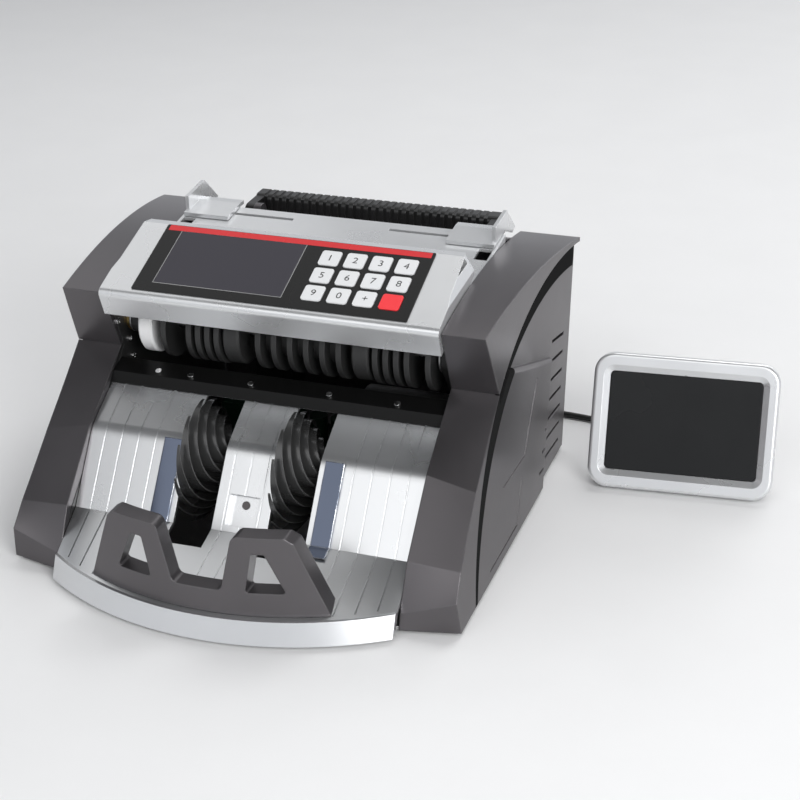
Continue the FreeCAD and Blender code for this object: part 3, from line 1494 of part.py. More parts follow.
def build():
    """Every node by its name."""
    shell = lower_shell()
    shoulder = shoulder_cover()
    frame = side_frame()
    shaft_reach = shell_in + frame_thick
    guide = note_guide()
    nodes = {
        "base_plate": base_plate(),
        "rubber_feet": rubber_feet(),
        "right_side_frame": frame,
        "left_side_frame": mirrored(frame),
        "right_lower_shell": shell,
        "left_lower_shell": mirrored(shell),
        "right_shoulder_cover": shoulder,
        "left_shoulder_cover": mirrored(shoulder),
        "rear_cover": rear_cover(),
        "front_tray": front_tray(),
        "stacker_plate": stacker_plate(),
        "mirror_strips": mirror_strips(),
        "sensor_lens": sensor_lens(),
        "note_stop": note_stop(),
        "roller_guard": roller_guard(),
        "guard_screws": guard_screws(),
        "console_housing": console_housing(),
        "keypad_overlay": keypad_overlay(),
        "lcd_window": lcd_window(),
        "hopper_plate": hopper_plate(),
        "right_note_guide": guide,
        "left_note_guide": mirrored(guide),
        "carry_handle": carry_handle(),
        "transport_shaft": shaft(transport_axis, -shaft_reach, shaft_reach),
        "transport_rollers": transport_rollers(),
        "idler_roller": drum(idler_centre, idler_width, idler_radius, transport_axis),
        "feed_shaft": shaft(feed_axis, feed_belt_x - pulley_flange, feed_bracket_x + 2 * bracket_thick),
        "feed_wheels": feed_wheels(),
        "stacker_shaft": shaft(stacker_axis, -shaft_reach, shaft_reach),
        "left_stacker_wheel": stacker_wheel(-wheel_centre_x),
        "right_stacker_wheel": stacker_wheel(wheel_centre_x),
        "shaft_bearings": bearings(),
        "transport_pulleys": transport_pulleys(),
        "feed_pulley": shaft_pulley(feed_axis, feed_pulley_radius, feed_belt_x),
        "stacker_pulley": shaft_pulley(stacker_axis, stacker_pulley_radius, stacker_belt_x),
        "motor_pulley": motor_pulley(),
        "drive_belts": drive_belts(),
        "drive_motor": drive_motor(),
        "main_board": main_board(),
        "mains_inlet": mains_inlet(),
        "power_switch": power_switch(),
        "display_bezel": display_bezel(),
        "display_screen": display_screen(),
        "display_back": display_back(),
        "cord_plug": cord_plug(),
        "cord_lead": cord_lead(),
        "cord_coil": cord_coil(),
        "cord_run": cord_run(),
    }
    for number, (row, column) in enumerate(key_places(), start=1):
        nodes["key_%d" % number] = key_cap(row, column)
    return nodes


os.makedirs("parts", exist_ok=True)
for name, shape in build().items():
    shape.translate(origin_foot)
    shape.exportStep("parts/%s.step" % name)
    print(name, "valid" if shape.isValid() else "INVALID", len(shape.Solids), round(shape.Volume))
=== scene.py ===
import json
import math

import bmesh
import bpy
from mathutils import Matrix, Vector


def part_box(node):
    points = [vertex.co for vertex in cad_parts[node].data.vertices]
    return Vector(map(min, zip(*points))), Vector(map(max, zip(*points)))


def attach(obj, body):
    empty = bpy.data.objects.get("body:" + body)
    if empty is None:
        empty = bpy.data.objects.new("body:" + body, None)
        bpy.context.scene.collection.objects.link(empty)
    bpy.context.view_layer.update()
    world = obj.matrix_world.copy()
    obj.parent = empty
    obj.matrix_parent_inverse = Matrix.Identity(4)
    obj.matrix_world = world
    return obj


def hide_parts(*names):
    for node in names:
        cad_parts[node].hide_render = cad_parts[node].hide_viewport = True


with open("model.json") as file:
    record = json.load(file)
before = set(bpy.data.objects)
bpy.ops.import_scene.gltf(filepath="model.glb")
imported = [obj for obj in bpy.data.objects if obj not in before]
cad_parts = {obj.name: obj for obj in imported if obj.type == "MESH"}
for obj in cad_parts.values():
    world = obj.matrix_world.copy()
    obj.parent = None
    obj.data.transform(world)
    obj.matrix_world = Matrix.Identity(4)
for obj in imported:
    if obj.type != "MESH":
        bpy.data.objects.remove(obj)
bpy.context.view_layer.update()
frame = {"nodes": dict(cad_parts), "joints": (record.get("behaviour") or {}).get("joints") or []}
nodes = frame["nodes"]

MM = 0.001

# Middle of the machine on the table, seen from the part's origin under its front left foot
MIDDLE = Vector((92.0, 62.0, 0.0)) * MM


def link(name, data):
    """New object at the origin."""
    piece = bpy.data.objects.new(name, data)
    bpy.context.scene.collection.objects.link(piece)
    return piece


def plain_mesh(holder):
    """Mesh that a holder with text or modifiers comes out as; the holder is removed."""
    mesh = bpy.data.meshes.new_from_object(holder.evaluated_get(bpy.context.evaluated_depsgraph_get()))
    bpy.data.objects.remove(holder)
    return mesh


# Camera of the photograph, in metres from the middle of the machine and in degrees

CAMERA_PLACE = Vector((0.3871, -0.8729, 0.5472))
CAMERA_AZIMUTH = 19.694
CAMERA_ELEVATION = 26.0
CAMERA_ROLL = -1.1445
CAMERA_LENS = 77.64
CAMERA_SENSOR = 36.0
CAMERA_NEAR = 0.05


def photo_camera():
    """Camera at the photograph's place."""
    az, el, roll = (math.radians(a) for a in (CAMERA_AZIMUTH, CAMERA_ELEVATION, CAMERA_ROLL))
    ahead = Vector((-math.sin(az) * math.cos(el), math.cos(az) * math.cos(el), -math.sin(el)))
    level = Vector((math.cos(az), math.sin(az), 0))
    rise = level.cross(ahead)
    right = level * math.cos(roll) + rise * math.sin(roll)
    up = rise * math.cos(roll) - level * math.sin(roll)
    data = bpy.data.cameras.new("photo_camera")
    data.lens = CAMERA_LENS
    data.sensor_width = CAMERA_SENSOR
    data.sensor_fit = "HORIZONTAL"
    data.clip_start = CAMERA_NEAR
    camera = link("photo_camera", data)
    turn = Matrix((right, up, -ahead)).transposed()
    camera.matrix_world = Matrix.Translation(MIDDLE + CAMERA_PLACE) @ turn.to_4x4()
    bpy.context.scene.camera = camera


photo_camera()


# Shader node groups


def group(name, inputs, outputs):
    """Empty shader group with named sockets."""
    tree = bpy.data.node_groups.new(name, "ShaderNodeTree")
    for label, kind, default in inputs:
        socket = tree.interface.new_socket(label, in_out="INPUT", socket_type=kind)
        socket.default_value = default
    for label, kind in outputs:
        tree.interface.new_socket(label, in_out="OUTPUT", socket_type=kind)
    return tree, tree.nodes.new("NodeGroupInput"), tree.nodes.new("NodeGroupOutput")


def node(tree, kind, values=None, **settings):
    """Node with its settings and unlinked input values."""
    made = tree.nodes.new(kind)
    for key, value in settings.items():
        setattr(made, key, value)
    for key, value in (values or {}).items():
        made.inputs[key].default_value = value
    return made


def math_node(tree, operation, a, b, clamp=False):
    """Result of a math node; a and b are sockets or numbers."""
    made = node(tree, "ShaderNodeMath", operation=operation, use_clamp=clamp)
    for socket, value in zip(made.inputs, (a, b)):
        if isinstance(value, (int, float)):
            socket.default_value = value
        else:
            tree.links.new(value, socket)
    return made.outputs[0]


def grain_group():
    """Moulded grain: a fine height, a slow mottle and a roughness that wanders between two values."""
    tree, start, end = group(
        "moulded_grain",
        [("Grain", "NodeSocketFloat", 900.0), ("Mottle", "NodeSocketFloat", 14.0),
         ("Rough Low", "NodeSocketFloat", 0.35), ("Rough High", "NodeSocketFloat", 0.5)],
        [("Height", "NodeSocketFloat"), ("Mottle", "NodeSocketFloat"), ("Roughness", "NodeSocketFloat")])
    place = node(tree, "ShaderNodeTexCoord")
    fine = node(tree, "ShaderNodeTexNoise", {"Detail": 3.0, "Roughness": 0.6})
    slow = node(tree, "ShaderNodeTexNoise", {"Detail": 4.0, "Roughness": 0.55})
    for texture, scale in ((fine, "Grain"), (slow, "Mottle")):
        tree.links.new(place.outputs["Object"], texture.inputs["Vector"])
        tree.links.new(start.outputs[scale], texture.inputs["Scale"])
    spread = node(tree, "ShaderNodeMapRange", {"From Min": 0.3, "From Max": 0.7})
    tree.links.new(slow.outputs["Fac"], spread.inputs["Value"])
    tree.links.new(start.outputs["Rough Low"], spread.inputs["To Min"])
    tree.links.new(start.outputs["Rough High"], spread.inputs["To Max"])
    tree.links.new(fine.outputs["Fac"], end.inputs["Height"])
    tree.links.new(slow.outputs["Fac"], end.inputs["Mottle"])
    tree.links.new(spread.outputs["Result"], end.inputs["Roughness"])
    return tree


def edge_group():
    """Softened normals at edges, and a mask of edges broken up by noise, which carries scuffs on most
    finishes and painted light on some.
    """
    tree, start, end = group(
        "soft_edges",
        [("Radius", "NodeSocketFloat", 0.0008), ("Scuff And Painted Light", "NodeSocketFloat", 1.0)],
        [("Normal", "NodeSocketVector"), ("Scuff And Painted Light", "NodeSocketFloat")])
    bevel = node(tree, "ShaderNodeBevel", samples=4)
    tree.links.new(start.outputs["Radius"], bevel.inputs["Radius"])
    surface = node(tree, "ShaderNodeNewGeometry")
    dot = node(tree, "ShaderNodeVectorMath", operation="DOT_PRODUCT")
    tree.links.new(bevel.outputs["Normal"], dot.inputs[0])
    tree.links.new(surface.outputs["Normal"], dot.inputs[1])
    turned = node(tree, "ShaderNodeMapRange",
                  {"From Min": 0.995, "From Max": 0.85, "To Min": 0.0, "To Max": 1.0})
    tree.links.new(dot.outputs["Value"], turned.inputs["Value"])
    place = node(tree, "ShaderNodeTexCoord")
    noise = node(tree, "ShaderNodeTexNoise", {"Scale": 60.0, "Detail": 5.0})
    tree.links.new(place.outputs["Object"], noise.inputs["Vector"])
    patchy = node(tree, "ShaderNodeMapRange", {"From Min": 0.35, "From Max": 0.65})
    tree.links.new(noise.outputs["Fac"], patchy.inputs["Value"])
    edge_scuff_and_painted_light = math_node(tree, "MULTIPLY", turned.outputs["Result"], patchy.outputs["Result"])
    tree.links.new(math_node(tree, "MULTIPLY", edge_scuff_and_painted_light, start.outputs["Scuff And Painted Light"], True), end.inputs["Scuff And Painted Light"])
    tree.links.new(bevel.outputs["Normal"], end.inputs["Normal"])
    return tree


GRAIN = grain_group()
EDGES = edge_group()


# Finishes

BUMP_DISTANCE = 0.0004


def finish(name, dark, light, edge_scuff_and_painted_light, rough, grain=900.0, depth=0.05, radius=0.8, scuff_and_painted_light=0.4, mottle=14.0,
           **sockets):
    """Material of one finish: mottled colour, edges with a tone of scuffs and painted light, wandering
    roughness and a fine grain.
    """
    material = bpy.data.materials.new(name)
    material.use_nodes = True
    tree = material.node_tree
    shader = tree.nodes["Principled BSDF"]
    for key, value in sockets.items():
        shader.inputs[key.replace("_", " ")].default_value = value
    moulded = node(tree, "ShaderNodeGroup", node_tree=GRAIN)
    rough_low, rough_high = rough
    for key, value in (("Grain", grain), ("Mottle", mottle), ("Rough Low", rough_low),
                       ("Rough High", rough_high)):
        moulded.inputs[key].default_value = value
    edges = node(tree, "ShaderNodeGroup", node_tree=EDGES)
    edges.inputs["Radius"].default_value = radius * MM
    edges.inputs["Scuff And Painted Light"].default_value = scuff_and_painted_light
    tone = node(tree, "ShaderNodeMix", data_type="RGBA")
    tone.inputs["A"].default_value = (*dark, 1)
    tone.inputs["B"].default_value = (*light, 1)
    tree.links.new(moulded.outputs["Mottle"], tone.inputs["Factor"])
    # Edge tone: scuffs, a painted highlight on silver, blades and mirror strips, and painted shade on grooved
    # silver
    edge_scuff_and_painted_light_mix = node(tree, "ShaderNodeMix", data_type="RGBA")
    edge_scuff_and_painted_light_mix.inputs["B"].default_value = (*edge_scuff_and_painted_light, 1)
    tree.links.new(edges.outputs["Scuff And Painted Light"], edge_scuff_and_painted_light_mix.inputs["Factor"])
    tree.links.new(tone.outputs["Result"], edge_scuff_and_painted_light_mix.inputs["A"])
    bump = node(tree, "ShaderNodeBump", {"Strength": depth, "Distance": BUMP_DISTANCE})
    tree.links.new(moulded.outputs["Height"], bump.inputs["Height"])
    tree.links.new(edges.outputs["Normal"], bump.inputs["Normal"])
    tree.links.new(edge_scuff_and_painted_light_mix.outputs["Result"], shader.inputs["Base Color"])
    tree.links.new(moulded.outputs["Roughness"], shader.inputs["Roughness"])
    tree.links.new(bump.outputs["Normal"], shader.inputs["Normal"])
    return material


def grey(value, tint=0.0):
    """Grey with a slight warm (positive) or cold (negative) tint."""
    return (value * (1 + tint), value, value * (1 - tint))


def charcoal(name, specular):
    """Satin charcoal paint of the covers."""
    return finish(name, (0.112, 0.106, 0.111), (0.14, 0.132, 0.138), grey(0.28), (0.29, 0.37), grain=1700.0,
                  depth=0.04, radius=1.0, scuff_and_painted_light=0.35, Metallic=0.88, Specular_IOR_Level=specular)


def silver(name, edge, scuff_and_painted_light, metallic):
    """Satin silver paint, with a tone on the edges that is a painted highlight on silver_paint and painted
    shade in the grooves of grooved_silver.
    """
    return finish(name, grey(0.63, -0.012), grey(0.73, -0.012), edge, (0.25, 0.32), grain=2600.0, depth=0.006,
                  radius=0.35, scuff_and_painted_light=scuff_and_painted_light, Metallic=metallic)


CHARCOAL = charcoal("charcoal_paint", specular=0.5)
# Shell paint, which also carries the painted shade of the channel below
SHELL_WITH_CHANNEL_SHADE = charcoal("shell_paint_with_channel_shade", specular=0.0)
# Silver paint: lighter edges, a painted highlight on the rims
SILVER = silver("silver_paint", edge=grey(0.85), scuff_and_painted_light=0.15, metallic=0.72)
# Grooved silver: dark edges, painted shade in the grooves (the outer edges take it too)
GROOVED = silver("grooved_silver", edge=grey(0.18), scuff_and_painted_light=0.9, metallic=0.95)
STEEL = finish("zinc_sheet", grey(0.42), grey(0.52), grey(0.7), (0.3, 0.45), Metallic=1.0)
CHEEK = finish("blackened_sheet", grey(0.012), grey(0.02), grey(0.12), (0.3, 0.42), grain=1500.0)
RUBBER = finish("black_rubber", grey(0.012), grey(0.024), grey(0.06), (0.45, 0.62), grain=700.0, depth=0.12)
BLACK = finish("black_plastic", grey(0.006), grey(0.011), grey(0.06), (0.28, 0.42), grain=1200.0, radius=0.5)
# Finger blades: lighter edges, a painted highlight along the blade edges
BLADE = finish("blade_plastic", grey(0.026), grey(0.038), grey(0.25), (0.2, 0.3), radius=0.3, scuff_and_painted_light=0.6,
               Coat_Weight=0.5, Coat_Roughness=0.18)
GUARD = finish("guard_paint", grey(0.003), grey(0.006), grey(0.04), (0.3, 0.42), radius=0.5,
               Specular_IOR_Level=0.15)
# Mirror strips: near-white edges at full strength, a painted highlight along their borders
MIRROR = finish("mirror_strip", (0.08, 0.095, 0.13), (0.1, 0.115, 0.155), grey(0.9), (0.03, 0.07), depth=0.0,
                radius=1.0, scuff_and_painted_light=1.0, Metallic=1.0)
CHROME = finish("plated_screws", grey(0.6), grey(0.75), grey(0.9), (0.15, 0.28), radius=0.4, Metallic=1.0)
GROUND = finish("ground_steel", grey(0.55), grey(0.65), grey(0.8), (0.18, 0.3), Metallic=1.0)
PULLEY = finish("turned_aluminium", grey(0.6), grey(0.7), grey(0.85), (0.25, 0.38), Metallic=1.0)
BRASS = finish("turned_brass", (0.55, 0.38, 0.15), (0.66, 0.48, 0.2), (0.85, 0.7, 0.4), (0.25, 0.4),
               Metallic=1.0)
MOTOR = finish("motor_paint", grey(0.03), grey(0.04), grey(0.3), (0.35, 0.5), grain=600.0, depth=0.15)
BOARD = finish("solder_mask", (0.002, 0.012, 0.006), (0.003, 0.018, 0.008), (0.02, 0.05, 0.03), (0.35, 0.45))
WHITE = finish("white_plastic", grey(0.66), grey(0.76), grey(0.85), (0.3, 0.42), radius=0.5)
KEY_WHITE = finish("white_keys", grey(0.68, -0.01), grey(0.76, -0.01), grey(0.5), (0.3, 0.42), radius=0.5,
                   scuff_and_painted_light=0.5)
KEY_RED = finish("red_key", (0.8, 0.022, 0.03), (0.88, 0.032, 0.042), (0.8, 0.2, 0.2), (0.28, 0.4),
                 radius=0.5)
WINDOW = finish("display_window", (0.027, 0.025, 0.034), (0.036, 0.034, 0.045), grey(0.12), (0.16, 0.22),
                depth=0.0, mottle=8.0, Specular_IOR_Level=0.3)
SCREEN = finish("dark_screen", grey(0.008, -0.05), grey(0.012, -0.05), grey(0.05), (0.22, 0.3), depth=0.0,
                Specular_IOR_Level=0.25)
FILM = finish("printed_film", grey(0.006), grey(0.009), grey(0.05), (0.25, 0.33), grain=1800.0, radius=0.4,
              Specular_IOR_Level=0.25)
STRIPE = finish("red_print", (0.55, 0.008, 0.012), (0.65, 0.012, 0.018), (0.6, 0.1, 0.1), (0.25, 0.32),
                radius=0.2)
PRINT = finish("grey_print", grey(0.22), grey(0.3), grey(0.5), (0.3, 0.4), depth=0.0, radius=0.1)
DIGITS = finish("digit_print", grey(0.01), grey(0.016), grey(0.05), (0.35, 0.45), depth=0.0, radius=0.1)
CORD = finish("cord_jacket", grey(0.006), grey(0.011), grey(0.03), (0.35, 0.5), grain=800.0, depth=0.1,
              radius=0.3)
LENS = finish("sensor_glass", (0.01, 0.004, 0.006), (0.02, 0.008, 0.01), grey(0.2), (0.05, 0.1), depth=0.0,
              radius=0.3, Coat_Weight=0.6, Coat_Roughness=0.03)
TIE = finish("tie_film", grey(0.02), grey(0.03), grey(0.08), (0.3, 0.4), grain=500.0, radius=0.2)


# Painted shade in the channel of the side shells under the shoulder covers, in millimetres as (y, z) from the
# middle

PARTING_ARC = ((145.3, 151.0), (40.0, 136.5), (-4.0, 109.0))
# Width of the band of painted shade, measured down from the parting arc
CHANNEL_SHADE_WIDTH = 16.0
CHANNEL_SHADE_REAR = 144.0
CHANNEL_SHADE_BLUR = 0.3
# Colour of the painted shade
CHANNEL_SHADE_TONE = grey(0.016)


def circle_through(a, b, c):
    """Centre and radius of the circle through three points of a plane."""
    across = 2 * (a[0] * (b[1] - c[1]) + b[0] * (c[1] - a[1]) + c[0] * (a[1] - b[1]))
    squares = [p[0] ** 2 + p[1] ** 2 for p in (a, b, c)]
    u = (squares[0] * (b[1] - c[1]) + squares[1] * (c[1] - a[1]) + squares[2] * (a[1] - b[1])) / across
    v = (squares[0] * (c[0] - b[0]) + squares[1] * (a[0] - c[0]) + squares[2] * (b[0] - a[0])) / across
    return u, v, math.hypot(a[0] - u, a[1] - v)


def inside_arc(tree, flat, lower):
    """Mask of the points inside the parting arc, moved down by some millimetres."""
    y, z, radius = circle_through(*PARTING_ARC)
    far = node(tree, "ShaderNodeVectorMath", operation="DISTANCE")
    tree.links.new(flat, far.inputs[0])
    far.inputs[1].default_value = (0.0, y * MM + MIDDLE.y, (z - lower) * MM)
    inner = node(tree, "ShaderNodeMapRange",
                 {"From Min": radius * MM, "From Max": (radius - CHANNEL_SHADE_BLUR) * MM})
    tree.links.new(far.outputs["Value"], inner.inputs["Value"])
    return inner.outputs["Result"]


def paint_channel_shade(material):
    """Painted shade in a band along the channel that runs under the shoulder covers: dark colour and no
    metallic shine.
    """
    tree = material.node_tree
    shader = tree.nodes["Principled BSDF"]
    base = shader.inputs["Base Color"]
    place = node(tree, "ShaderNodeTexCoord")
    parts = node(tree, "ShaderNodeSeparateXYZ")
    tree.links.new(place.outputs["Object"], parts.inputs["Vector"])
    sides = node(tree, "ShaderNodeVectorMath", operation="MULTIPLY")
    sides.inputs[1].default_value = (0.0, 1.0, 1.0)
    tree.links.new(place.outputs["Object"], sides.inputs[0])
    flat = sides.outputs["Vector"]
    below = math_node(tree, "SUBTRACT", 1.0, inside_arc(tree, flat, CHANNEL_SHADE_WIDTH))
    band = math_node(tree, "MULTIPLY", inside_arc(tree, flat, 0.0), below)
    ahead = math_node(tree, "LESS_THAN", parts.outputs["Y"], CHANNEL_SHADE_REAR * MM + MIDDLE.y)
    mask = math_node(tree, "MULTIPLY", band, ahead)
    # Painted shade: no metallic shine and a dark colour inside the band
    dull = math_node(tree, "SUBTRACT", 1.0, mask)
    metallic = shader.inputs["Metallic"]
    tree.links.new(math_node(tree, "MULTIPLY", dull, metallic.default_value), metallic)
    shade = node(tree, "ShaderNodeMix", data_type="RGBA")
    shade.inputs["B"].default_value = (*CHANNEL_SHADE_TONE, 1)
    tree.links.new(mask, shade.inputs["Factor"])
    tree.links.new(base.links[0].from_socket, shade.inputs["A"])
    tree.links.new(shade.outputs["Result"], base)


# Painted shade in the channel, on the shell paint
paint_channel_shade(SHELL_WITH_CHANNEL_SHADE)


# Finish of each node; the rest are white keys, and the cord nodes that the scene's own cord replaces

NODE_FINISH = {
    "right_lower_shell": SHELL_WITH_CHANNEL_SHADE, "left_lower_shell": SHELL_WITH_CHANNEL_SHADE, "right_shoulder_cover": CHARCOAL,
    "left_shoulder_cover": CHARCOAL, "rear_cover": CHARCOAL, "note_stop": CHARCOAL, "display_back": CHARCOAL,
    "console_housing": SILVER, "hopper_plate": SILVER, "right_note_guide": SILVER, "left_note_guide": SILVER,
    "front_tray": GROOVED, "stacker_plate": GROOVED, "display_bezel": SILVER,
    "base_plate": STEEL, "right_side_frame": CHEEK, "left_side_frame": CHEEK, "sensor_lens": LENS,
    "rubber_feet": RUBBER, "transport_rollers": RUBBER, "feed_wheels": RUBBER, "drive_belts": RUBBER,
    "roller_guard": GUARD, "carry_handle": BLACK, "mains_inlet": BLACK, "power_switch": BLACK,
    "cord_plug": BLACK, "left_stacker_wheel": BLADE, "right_stacker_wheel": BLADE, "keypad_overlay": FILM,
    "mirror_strips": MIRROR, "guard_screws": CHROME,
    "transport_shaft": GROUND, "feed_shaft": GROUND, "stacker_shaft": GROUND,
    "transport_pulleys": PULLEY, "feed_pulley": PULLEY, "stacker_pulley": PULLEY, "motor_pulley": PULLEY,
    "shaft_bearings": BRASS, "drive_motor": MOTOR, "main_board": BOARD, "idler_roller": WHITE,
    "lcd_window": WINDOW, "display_screen": SCREEN, "key_12": KEY_RED,
}


def paint(piece, material):
    """One material on the whole piece."""
    piece.data.materials.clear()
    piece.data.materials.append(material)


for name, piece in nodes.items():
    paint(piece, NODE_FINISH.get(name, KEY_WHITE))


# Display cord, with its route in millimetres from the middle of the machine

CORD_DIAMETER = 4.2 * MM
CORD_Z = 2.2
COIL_CENTRE = (10.0, 205.0)
COIL_OUTER = 31.0
COIL_STEP = 1.25
COIL_QUARTERS = 18
COIL_LAYER = 5.0
COIL_POINTS = 4
LEAD_ROUTE = [
    (70.0, 165.0, 32.0), (70.0, 181.0, 32.0), (69.5, 197.0, 26.0), (69.0, 210.0, 16.0),
    (65.5, 222.0, 7.5), (55.0, 231.5, 3.2), (29.2, 236.0, CORD_Z),
]
RUN_ROUTE = [
    (29.2, 174.0, 7.2), (53.0, 177.5, 4.2), (78.0, 183.5, CORD_Z), (104.0, 191.0, CORD_Z),
    (130.0, 192.5, CORD_Z), (153.0, 189.5, CORD_Z), (176.0, 189.5, CORD_Z), (195.0, 184.0, 3.4),
    (207.5, 171.5, 6.6), (213.2, 160.1, 9.0), (214.6, 145.1, 9.0),
]


def coil_route():
    """Points of the coil: in by quarters, up one layer in the middle, and out again."""
    points = []
    steps = COIL_QUARTERS * COIL_POINTS
    for i in range(steps + 1):
        quarter = i / COIL_POINTS
        radius = COIL_OUTER - COIL_STEP * min(quarter, COIL_QUARTERS - quarter)
        climb = max(0.0, min(1.0, (quarter - COIL_QUARTERS / 2 + 1) / 2))
        angle = math.radians(90 + 90 * quarter)
        bulge = radius / math.cos(math.radians(45 / COIL_POINTS))
        points.append((COIL_CENTRE[0] + bulge * math.cos(angle), COIL_CENTRE[1] + bulge * math.sin(angle),
                       CORD_Z + COIL_LAYER * climb))
    return points


def display_cord():
    """Cord from the rear jack through its coil to the display."""
    route = LEAD_ROUTE + coil_route() + RUN_ROUTE
    data = bpy.data.curves.new("display_cord", "CURVE")
    data.dimensions = "3D"
    data.bevel_depth = CORD_DIAMETER / 2
    data.bevel_resolution = 4
    data.resolution_u = 6
    spline = data.splines.new("NURBS")
    spline.points.add(len(route) - 1)
    for point, place in zip(spline.points, route):
        point.co = (*(MIDDLE + Vector(place) * MM), 1.0)
    spline.order_u = 3
    spline.use_endpoint_u = True
    data.materials.append(CORD)
    return link("display_cord", data)


cord = display_cord()
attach(cord, "machine")
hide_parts("cord_lead", "cord_coil", "cord_run")


# Print on the overlay of the console, in millimetres

OVERLAY_THICK = 0.6
STRIPE_WIDTH = 5.0
STRIPE_SIDE = 2.0
STRIPE_REAR = 0.3
STRIPE_THICK = 0.08
LINE_WIDTH = 0.5
LINE_THICK = 0.06
BLOCK_FACES = ((0, 3, 2, 1), (4, 5, 6, 7), (0, 1, 5, 4), (1, 2, 6, 5), (2, 3, 7, 6), (3, 0, 4, 7))


def panel_frame():
    """Front left corner of the overlay's top with its directions across, up the slope and outwards."""
    press = next(j for j in frame["joints"] if j["name"] == "button_1_press")["axis"]
    out = -Vector(press)
    up_slope = Vector((0, out.z, -out.y))
    low = Vector(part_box("keypad_overlay")[0])
    front = Vector((low.x, low.y, low.z + OVERLAY_THICK * MM * out.z))
    return front, Vector((1, 0, 0)), up_slope, out


def panel_edges(name):
    """Left, front, right and rear edge of a flat node of the panel, from the overlay's front left corner."""
    corner, _, along, _ = panel_frame()
    low, high = (Vector(end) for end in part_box(name))
    front = (low.y - corner.y) / along.y
    rear = (high.z - corner.z) / along.z
    return [edge / MM for edge in (low.x - corner.x, front, high.x - corner.x, rear)]


def panel_mesh(name, quads, material, depth):
    """Thin printed shapes on the overlay, from their left, front, right and rear edges."""
    corner, across, along, out = panel_frame()
    mesh = bpy.data.meshes.new(name)
    work = bmesh.new()
    for x0, v0, x1, v1 in quads:
        base = []
        for level in (0.0, depth):
            for x, v in ((x0, v0), (x1, v0), (x1, v1), (x0, v1)):
                base.append(work.verts.new(corner + (across * x + along * v + out * level) * MM))
        for face in BLOCK_FACES:
            work.faces.new([base[i] for i in face])
    work.to_mesh(mesh)
    work.free()
    mesh.materials.append(material)
    piece = link(name, mesh)
    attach(piece, "machine")


def red_stripe():
    """Stripe along the rear edge of the overlay."""
    left, _, right, rear = panel_edges("keypad_overlay")
    edges = (left + STRIPE_SIDE, rear - STRIPE_WIDTH, right - STRIPE_SIDE, rear - STRIPE_REAR)
    panel_mesh("red_stripe", [edges], STRIPE, STRIPE_THICK)


def window_outline():
    """Fine line round the display window."""
    left, front, right, rear = panel_edges("lcd_window")
    panel_mesh("window_outline", [
        (left - LINE_WIDTH, front - LINE_WIDTH, right + LINE_WIDTH, front),
        (left - LINE_WIDTH, rear, right + LINE_WIDTH, rear + LINE_WIDTH),
        (left - LINE_WIDTH, front, left, rear),
        (right, front, right + LINE_WIDTH, rear),
    ], PRINT, LINE_THICK)


red_stripe()
window_outline()


# Signs on the keys, in millimetres

KEY_SIGNS = "1234567890+"
KEY_HALF = 0.9
SIGN_SIZE = 7.0
SIGN_THICK = 0.02


def key_digit(number, sign):
    """Plain sign on the top of a key."""
    _, across, along, out = panel_frame()
    low, high = (Vector(end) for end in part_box("key_%d" % number))
    curve = bpy.data.curves.new("digit", "FONT")
    curve.body = sign
    curve.size = SIGN_SIZE * MM
    curve.align_x = "CENTER"
    curve.align_y = "CENTER"
    curve.extrude = SIGN_THICK * MM
    mesh = plain_mesh(link("digit", curve))
    centre = (low + high) / 2 + out * (KEY_HALF + SIGN_THICK) * MM
    turn = Matrix((across, along, out)).transposed().to_4x4()
    mesh.transform(Matrix.Translation(centre) @ turn)
    mesh.materials.clear()
    mesh.materials.append(DIGITS)
    piece = link("digit_%d" % number, mesh)
    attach(piece, "button_%d" % number)


for number, sign in enumerate(KEY_SIGNS, 1):
    key_digit(number, sign)


# Screws, repeated by a node tree; the sizes of a head are shares of its radius

HEAD_SIDES = 28
HEAD_HEIGHT = 0.5
SLOT_WIDTH = 0.28
SLOT_LENGTH = 1.3


